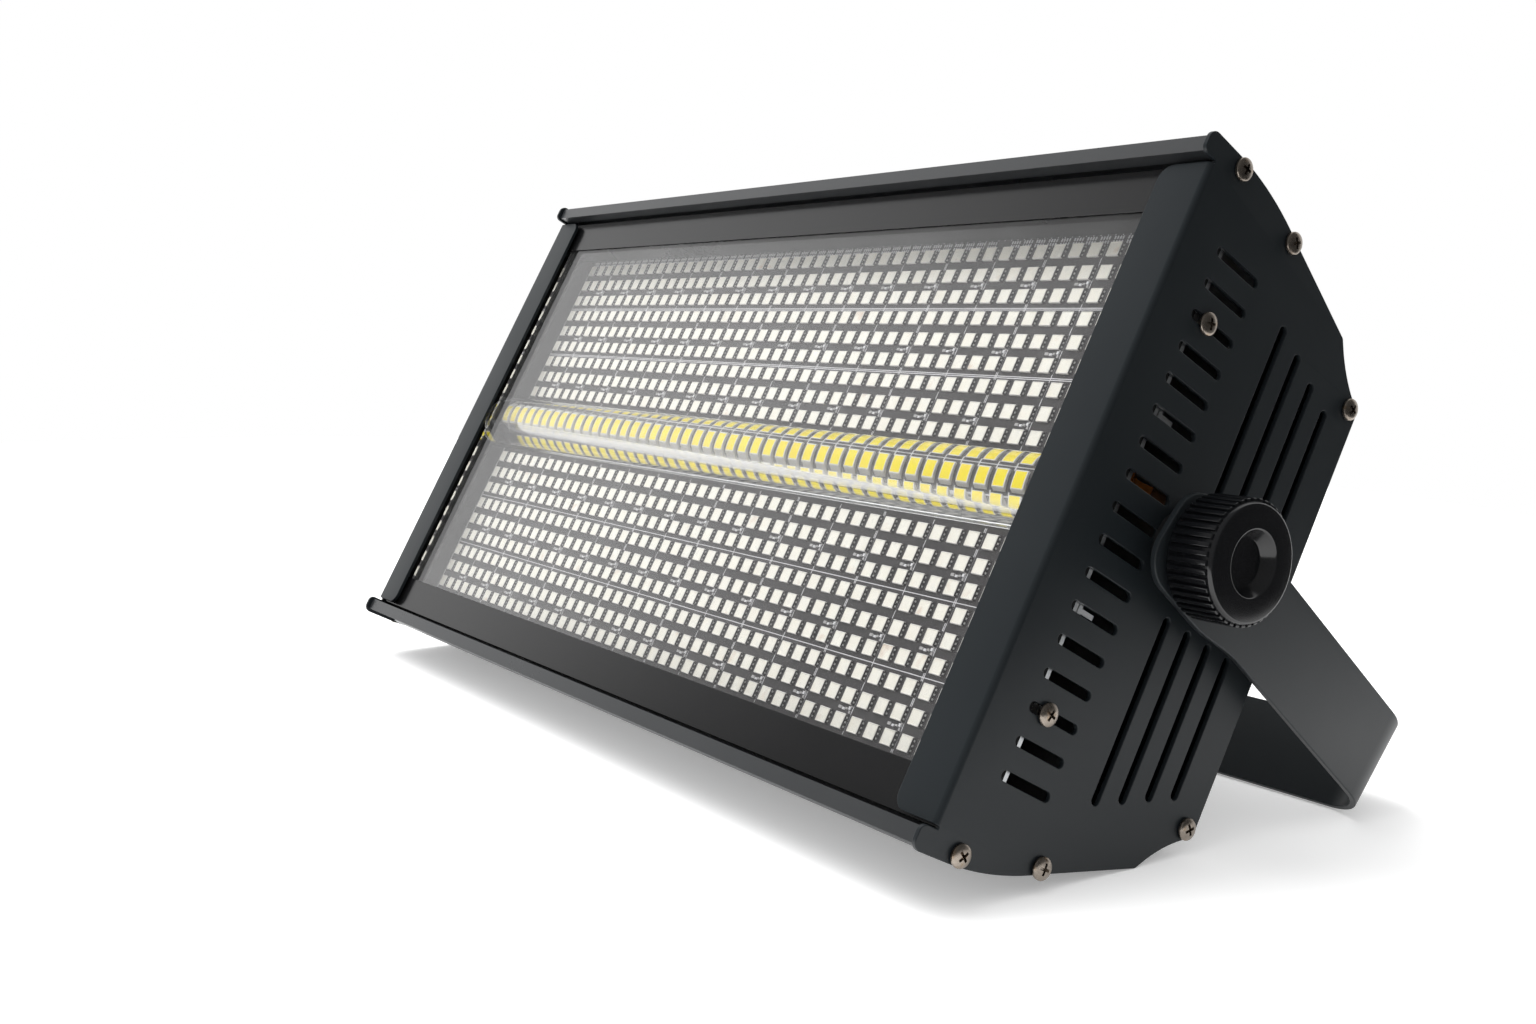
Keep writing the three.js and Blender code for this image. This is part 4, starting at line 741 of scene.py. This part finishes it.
def makeChips():
    shape = bmesh.new()
    for block in range(board["rows"] // board["cellLamps"]):
        for (first, pitch), share in zip((board["upper"], board["lower"]), marks["chipRows"]):
            z = first + (board["cellLamps"] * block + share) * pitch
            for i in range(board["cells"]):
                for x, rise, width, height, kind in marks["chips"]:
                    addBox(shape, (board["left"] + (i + 1) * board["cell"] + x, board["face"], z + rise),
                           (width, marks["chipRise"] * 2, height), kind)
    finishPiece("board_chips", shape, [chipCeramic, silkInk])
    shape = bmesh.new()
    for i in range(int(board["length"] / marks["groupPitch"])):
        if i == marks["gapGroup"]:
            continue
        for k in range(marks["ticks"]):
            x = board["left"] + marks["tickStart"] + i * marks["groupPitch"] + k * marks["tickPitch"]
            for z in marks["tickRows"]:
                addBox(shape, (x, board["face"], z), marks["tick"])
    finishPiece("board_resistors", shape, [silkInk])


makeBoardPrint()
makeChips()

# A short flat lead in amber film from the board's back to the chassis, seen through the eighth slot
lead = {"x": 190.5, "row": 10.2, "width": 9.0, "thickness": 0.25, "start": 20.3, "gap": 0.3, "sag": 2.4,
        "steps": 12, "smooth": 50}


def makeAmberLead():
    far = headBox("chassis_plate")[0][1] - lead["gap"]
    shape = bmesh.new()
    bmesh.ops.create_grid(shape, x_segments=lead["steps"], y_segments=2, size=0.5)
    bmesh.ops.transform(shape, verts=shape.verts, matrix=Matrix((
        (0, 0, 1, lead["x"]), (far - lead["start"], 0, 0, (far + lead["start"]) / 2),
        (0, lead["width"], 0, lead["row"]), (0, 0, 0, 1))))
    for vert in shape.verts:
        share = (vert.co.y - lead["start"]) / (far - lead["start"])
        vert.co.x += lead["sag"] * math.sin(share * math.tau)
    bmesh.ops.solidify(shape, geom=shape.faces, thickness=lead["thickness"])
    finishPiece("amber_flat_lead", shape, [amberFilm], smooth=lead["smooth"])


makeAmberLead()
print("board marked")

# Knob: a turned body with straight ribs, a bevelled rim and a crowned, dished face
knob = {
    "base": 208.9, "rim": 225.3, "crown": 0.5, "core": 17.1, "ribRadius": 18.0, "ribs": 44, "ribWidth": 1.5,
    "face": 16.6, "bevel": 1.3, "skirt": 1.4, "dish": 9.5, "dishFloor": 7.2, "dishDepth": 4.0,
    "bore": 4.3, "boreDepth": 10.0, "steps": 132, "root": 0.2, "ribCorner": 0.42, "ribCornerSteps": 3,
    "smooth": 32,
}


def makeKnob(sideName, side):
    start, rim = knob["base"], knob["rim"]
    face = rim + knob["crown"]
    floor = face - knob["dishDepth"]
    # Points (x, radius) from the bore to the dish, where steps of a few tenths round the edges
    profile = [
        (start + knob["boreDepth"], 0), (start + knob["boreDepth"], knob["bore"]), (start, knob["bore"]),
        (start, knob["face"] - 0.4), (start + 0.4, knob["face"]), (start + knob["skirt"], knob["core"]),
        (rim - knob["bevel"], knob["core"]), (rim - knob["bevel"] + 0.2, knob["core"] - 0.03),
        (rim - 0.35, knob["face"] + 0.12), (rim - 0.12, knob["face"]), (rim, knob["face"] - 0.2),
        (rim + 0.04, knob["face"] - 0.5), (face - 0.04, knob["dish"] + 0.45),
        (face - 0.06, knob["dish"] + 0.2), (face - 0.2, knob["dish"]), (face - 0.5, knob["dish"] - 0.25),
        (floor + 0.25, knob["dishFloor"] + 0.1), (floor + 0.05, knob["dishFloor"] - 0.1),
        (floor, knob["dishFloor"] - 0.4), (floor, 0),
    ]
    shape = bmesh.new()
    turnProfile(shape, profile, knob["steps"])
    ribs = bmesh.new()
    length = rim - knob["bevel"] - start - knob["skirt"]
    rise = knob["ribRadius"] - knob["core"] + knob["root"]
    addBox(ribs, (start + knob["skirt"] + length / 2, knob["ribRadius"] - rise / 2, 0),
           (length, rise, knob["ribWidth"]))
    edges = [edge for edge in ribs.edges if all(vert.co.y > knob["core"] for vert in edge.verts)]
    bevelEdges(ribs, edges, knob["ribCorner"], knob["ribCornerSteps"])
    rib = bpy.data.meshes.new("rib")
    ribs.to_mesh(rib)
    ribs.free()
    for k in range(knob["ribs"]):
        before = set(shape.verts)
        shape.from_mesh(rib)
        added = [vert for vert in shape.verts if vert not in before]
        bmesh.ops.rotate(shape, verts=added, cent=(0, 0, 0),
                         matrix=Matrix.Rotation(k * math.tau / knob["ribs"], 3, "X"))
    bpy.data.meshes.remove(rib)
    place = pivotFrame if side > 0 else pivotFrame @ Matrix.Rotation(math.pi, 4, "Y")
    finishPiece(sideName + "_ribbed_knob", shape, [knobAbs], "knob_" + sideName, place=place,
                nodes=[sideName + "_knob"], smooth=knob["smooth"])


for sideName, side in (("right", 1), ("left", -1)):
    makeKnob(sideName, side)
print("knobs turned")

# Pan-head screws with a cross recess, each stopped at its own angle
screw = {
    "radius": 3.4, "rim": 0.7, "height": 1.7, "gap": 0.3, "shank": 1.2, "length": 8.7,
    "crossWidth": 1.05, "crossSpan": 4.5, "crossDepth": 1.35, "crossTaper": 0.62, "turnStep": 37.0,
    "edge": 0.15, "domeSteps": 6, "steps": 28, "places": ("front", "middle", "rear", "slot"),
}


def makeScrewMesh():
    shape = bmesh.new()
    gap, radius, edge = screw["gap"], screw["radius"], screw["edge"]
    dome = screw["height"] - screw["rim"]
    profile = [(-screw["length"], 0), (-screw["length"], screw["shank"]), (gap, screw["shank"]),
               (gap, radius - edge), (gap + edge, radius), (gap + screw["rim"], radius)]
    for k in range(1, screw["domeSteps"] + 1):
        turn = k / screw["domeSteps"] * math.pi / 2
        profile.append((gap + screw["rim"] + dome * math.sin(turn), radius * math.cos(turn)))
    turnProfile(shape, profile, screw["steps"])
    body = bpy.data.meshes.new("screw")
    shape.to_mesh(body)
    shape.free()
    cutter = bmesh.new()
    top = gap + screw["height"]
    for size in ((screw["crossSpan"], screw["crossWidth"]), (screw["crossWidth"], screw["crossSpan"])):
        made = addBox(cutter, (top, 0, 0), (screw["crossDepth"] * 2, *size))
        floor = [vert for vert in made if vert.co.x < top]
        bmesh.ops.scale(cutter, verts=floor, vec=(1, screw["crossTaper"], screw["crossTaper"]))
    cross = bpy.data.meshes.new("cross")
    cutter.to_mesh(cross)
    cutter.free()
    blank = bpy.data.objects.new("screwBlank", body)
    tool = bpy.data.objects.new("crossTool", cross)
    for item in (blank, tool):
        scene.collection.objects.link(item)
    cut = blank.modifiers.new("recess", "BOOLEAN")
    cut.operation = "DIFFERENCE"
    cut.solver = "EXACT"
    cut.use_self = True
    cut.object = tool
    done = bakedMesh(blank)
    for item in (blank, tool):
        bpy.data.objects.remove(item)
    return done


def makeScrews():
    screwMesh = makeScrewMesh()
    names = [sideName + "_" + level + "_" + place for sideName in ("right", "left")
             for level in ("top", "bottom") for place in screw["places"]]
    for count, name in enumerate(names):
        low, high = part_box(name + "_screw")
        middle = (low + high) / 2
        side = 1 if middle.x > 0 else -1
        shape = bmesh.new()
        shape.from_mesh(screwMesh)
        turn = Matrix.Rotation(math.radians(count * screw["turnStep"]), 4, "X")
        facing = Matrix.Identity(4) if side > 0 else Matrix.Rotation(math.pi, 4, "Z")
        seat = Matrix.Translation((side * head["halfWidth"] / 1000, middle.y, middle.z))
        finishPiece(name + "_pan_screw", shape, [nickelPlate], nodes=[name + "_screw"],
                    place=seat @ headTurn @ Matrix.Scale(0.001, 4) @ facing @ turn)
    bpy.data.meshes.remove(screwMesh)


makeScrews()
print("screws driven")

# Covers: the solids with their edges softened
cover = {"names": ("top_cover", "bottom_cover"), "edge": 0.3}
for name in cover["names"]:
    finishPiece("soft_" + name, mergedNode(name, cover["edge"]), [coatedExtrusion], place=None,
                nodes=[name])

# The nodes that keep their solids, by finish
kept = (
    (millAluminium, ("heat_sink", "chassis_plate", "upper_board_rail", "lower_board_rail",
                     "left_top_board_block", "left_bottom_board_block", "right_top_board_block",
                     "right_bottom_board_block")),
    (zincPlate, ("power_supply", "left_pivot_bolt", "right_pivot_bolt")),
    (greenResist, ("driver_board", "control_board")),
    (coatedSteel, ("rear_panel",)),
    (knobAbs, ("display_module", "menu_button", "down_button", "up_button", "enter_button")),
    (blackNylon, ("dmx_in_socket", "dmx_out_socket", "power_inlet", "power_outlet", "left_fan_frame",
                  "right_fan_frame", "left_fan_rotor", "right_fan_rotor", "left_pivot_spacer",
                  "right_pivot_spacer")),
)
for material, names in kept:
    for name in names:
        mesh = frame["nodes"][name].data
        mesh.materials.clear()
        mesh.materials.append(material)
print("solids dressed")

# Studio: a white sheet on a white ground, a bright field for gloss at the left and behind, plain light
# stronger from the front left, a soft key, and the camera, its place in mm in the head's frame
studio = {
    "floorPlace": (-0.6, 0.0, 0.0), "floorRadius": 1.0, "floorGlow": 0.27, "paper": "#f5f5f5",
    "field": {"centre": (-0.7, 0.65, 0.15), "edge": 0.3, "full": 0.44, "dimShare": 0.2},
    "diffuse": {"centre": (-0.6, -0.7, 0.55), "away": 0.2, "towards": 1.3},
    "keyPlace": (-0.6, -0.6, 2.0), "keySize": 1.6, "keyPower": 45.0,
    "cameraPlace": (504.633, -290.177, -111.617), "cameraTurn": (100.31129, -23.91970, 52.12639),
    "lens": 37.2006, "sensor": 36.0, "clipStart": 0.01,
}


def makeFloor():
    shape = bmesh.new()
    bmesh.ops.create_circle(shape, cap_ends=True, segments=64, radius=studio["floorRadius"],
                            matrix=Matrix.Translation(studio["floorPlace"]))
    mesh = bpy.data.meshes.new("studioFloor")
    shape.to_mesh(mesh)
    shape.free()
    floor = bpy.data.objects.new("studio_floor", mesh)
    scene.collection.objects.link(floor)
    material, tree = newMaterial("whitePaperSheet")
    path = addNode(tree, "ShaderNodeLightPath").outputs
    seen = addNode(tree, "ShaderNodeMath", {"operation": "MAXIMUM"},
                   {0: path["Is Camera Ray"], 1: path["Is Glossy Ray"]})
    seen = addNode(tree, "ShaderNodeMath", {"operation": "MAXIMUM"},
                   {0: seen.outputs[0], 1: path["Is Transmission Ray"]})
    glow = addNode(tree, "ShaderNodeMath", {"operation": "MULTIPLY", 1: studio["floorGlow"]},
                   {0: seen.outputs[0]})
    paper = addNode(tree, "ShaderNodeBsdfDiffuse", {"Color": linear(studio["paper"])})
    light = addNode(tree, "ShaderNodeEmission", {"Color": linear("#ffffff")}, {"Strength": glow.outputs[0]})
    both = addNode(tree, "ShaderNodeAddShader", {}, {0: paper.outputs[0], 1: light.outputs[0]})
    addNode(tree, "ShaderNodeOutputMaterial", {}, {"Surface": both.outputs["Shader"]})
    mesh.materials.append(material)


def makeWorld():
    world = bpy.data.worlds.new("whiteStudio")
    scene.world = world
    world.use_nodes = True
    tree = world.node_tree
    tree.nodes.clear()
    way = addNode(tree, "ShaderNodeTexCoord").outputs["Generated"]
    field, diffuse = studio["field"], studio["diffuse"]
    facing = [addNode(tree, "ShaderNodeVectorMath", {
        "operation": "DOT_PRODUCT", 1: Vector(light["centre"]).normalized()}, {0: way}).outputs["Value"]
        for light in (field, diffuse)]
    plain = addNode(tree, "ShaderNodeMapRange", {
        "From Min": -1.0, "From Max": 1.0, "To Min": diffuse["away"], "To Max": diffuse["towards"]},
        {"Value": facing[1]})
    dim = addNode(tree, "ShaderNodeMath", {"operation": "MULTIPLY", 1: field["dimShare"]},
                  {0: plain.outputs["Result"]})
    bright = addNode(tree, "ShaderNodeMapRange", {
        "From Min": field["edge"], "From Max": field["full"], "To Max": 1.0},
        {"Value": facing[0], "To Min": dim.outputs[0]})
    # Only gloss and clear sight see the field: light already scattered once is plain
    path = addNode(tree, "ShaderNodeLightPath").outputs
    gloss = addNode(tree, "ShaderNodeMath", {"operation": "MAXIMUM"},
                    {0: path["Is Glossy Ray"], 1: path["Is Transmission Ray"]})
    fresh = addNode(tree, "ShaderNodeMath", {"operation": "LESS_THAN", 1: 0.5}, {0: path["Diffuse Depth"]})
    gloss = addNode(tree, "ShaderNodeMath", {"operation": "MULTIPLY"},
                    {0: gloss.outputs[0], 1: fresh.outputs[0]})
    lit = addNode(tree, "ShaderNodeMix", {"data_type": "FLOAT"},
                  {0: gloss.outputs[0], 2: plain.outputs["Result"], 3: bright.outputs["Result"]})
    shown = addNode(tree, "ShaderNodeMix", {"data_type": "FLOAT", 3: 1.0},
                    {0: path["Is Camera Ray"], 2: lit.outputs[0]})
    light = addNode(tree, "ShaderNodeBackground", {"Color": linear("#ffffff")},
                    {"Strength": shown.outputs[0]})
    addNode(tree, "ShaderNodeOutputWorld", {}, {"Surface": light.outputs["Background"]})


def makeKey():
    lamp = bpy.data.lights.new("keySoftbox", "AREA")
    lamp.shape = "SQUARE"
    lamp.size = studio["keySize"]
    lamp.energy = studio["keyPower"]
    key = bpy.data.objects.new("keySoftbox", lamp)
    key.location = studio["keyPlace"]
    key.rotation_euler = (-Vector(studio["keyPlace"])).to_track_quat("-Z", "Y").to_euler()
    key.visible_glossy = False
    key.visible_transmission = False
    scene.collection.objects.link(key)


def makeCamera():
    view = bpy.data.cameras.new("camera")
    view.lens = studio["lens"]
    view.sensor_width = studio["sensor"]
    view.clip_start = studio["clipStart"]
    camera = bpy.data.objects.new("camera", view)
    turn = Euler([math.radians(angle) for angle in studio["cameraTurn"]]).to_matrix()
    camera.location = headFrame @ Vector(studio["cameraPlace"])
    camera.rotation_euler = (headTurn.to_3x3() @ turn).to_euler()
    scene.collection.objects.link(camera)
    scene.camera = camera


makeFloor()
makeWorld()
makeKey()
makeCamera()
print("studio lit")

bpy.context.view_layer.update()
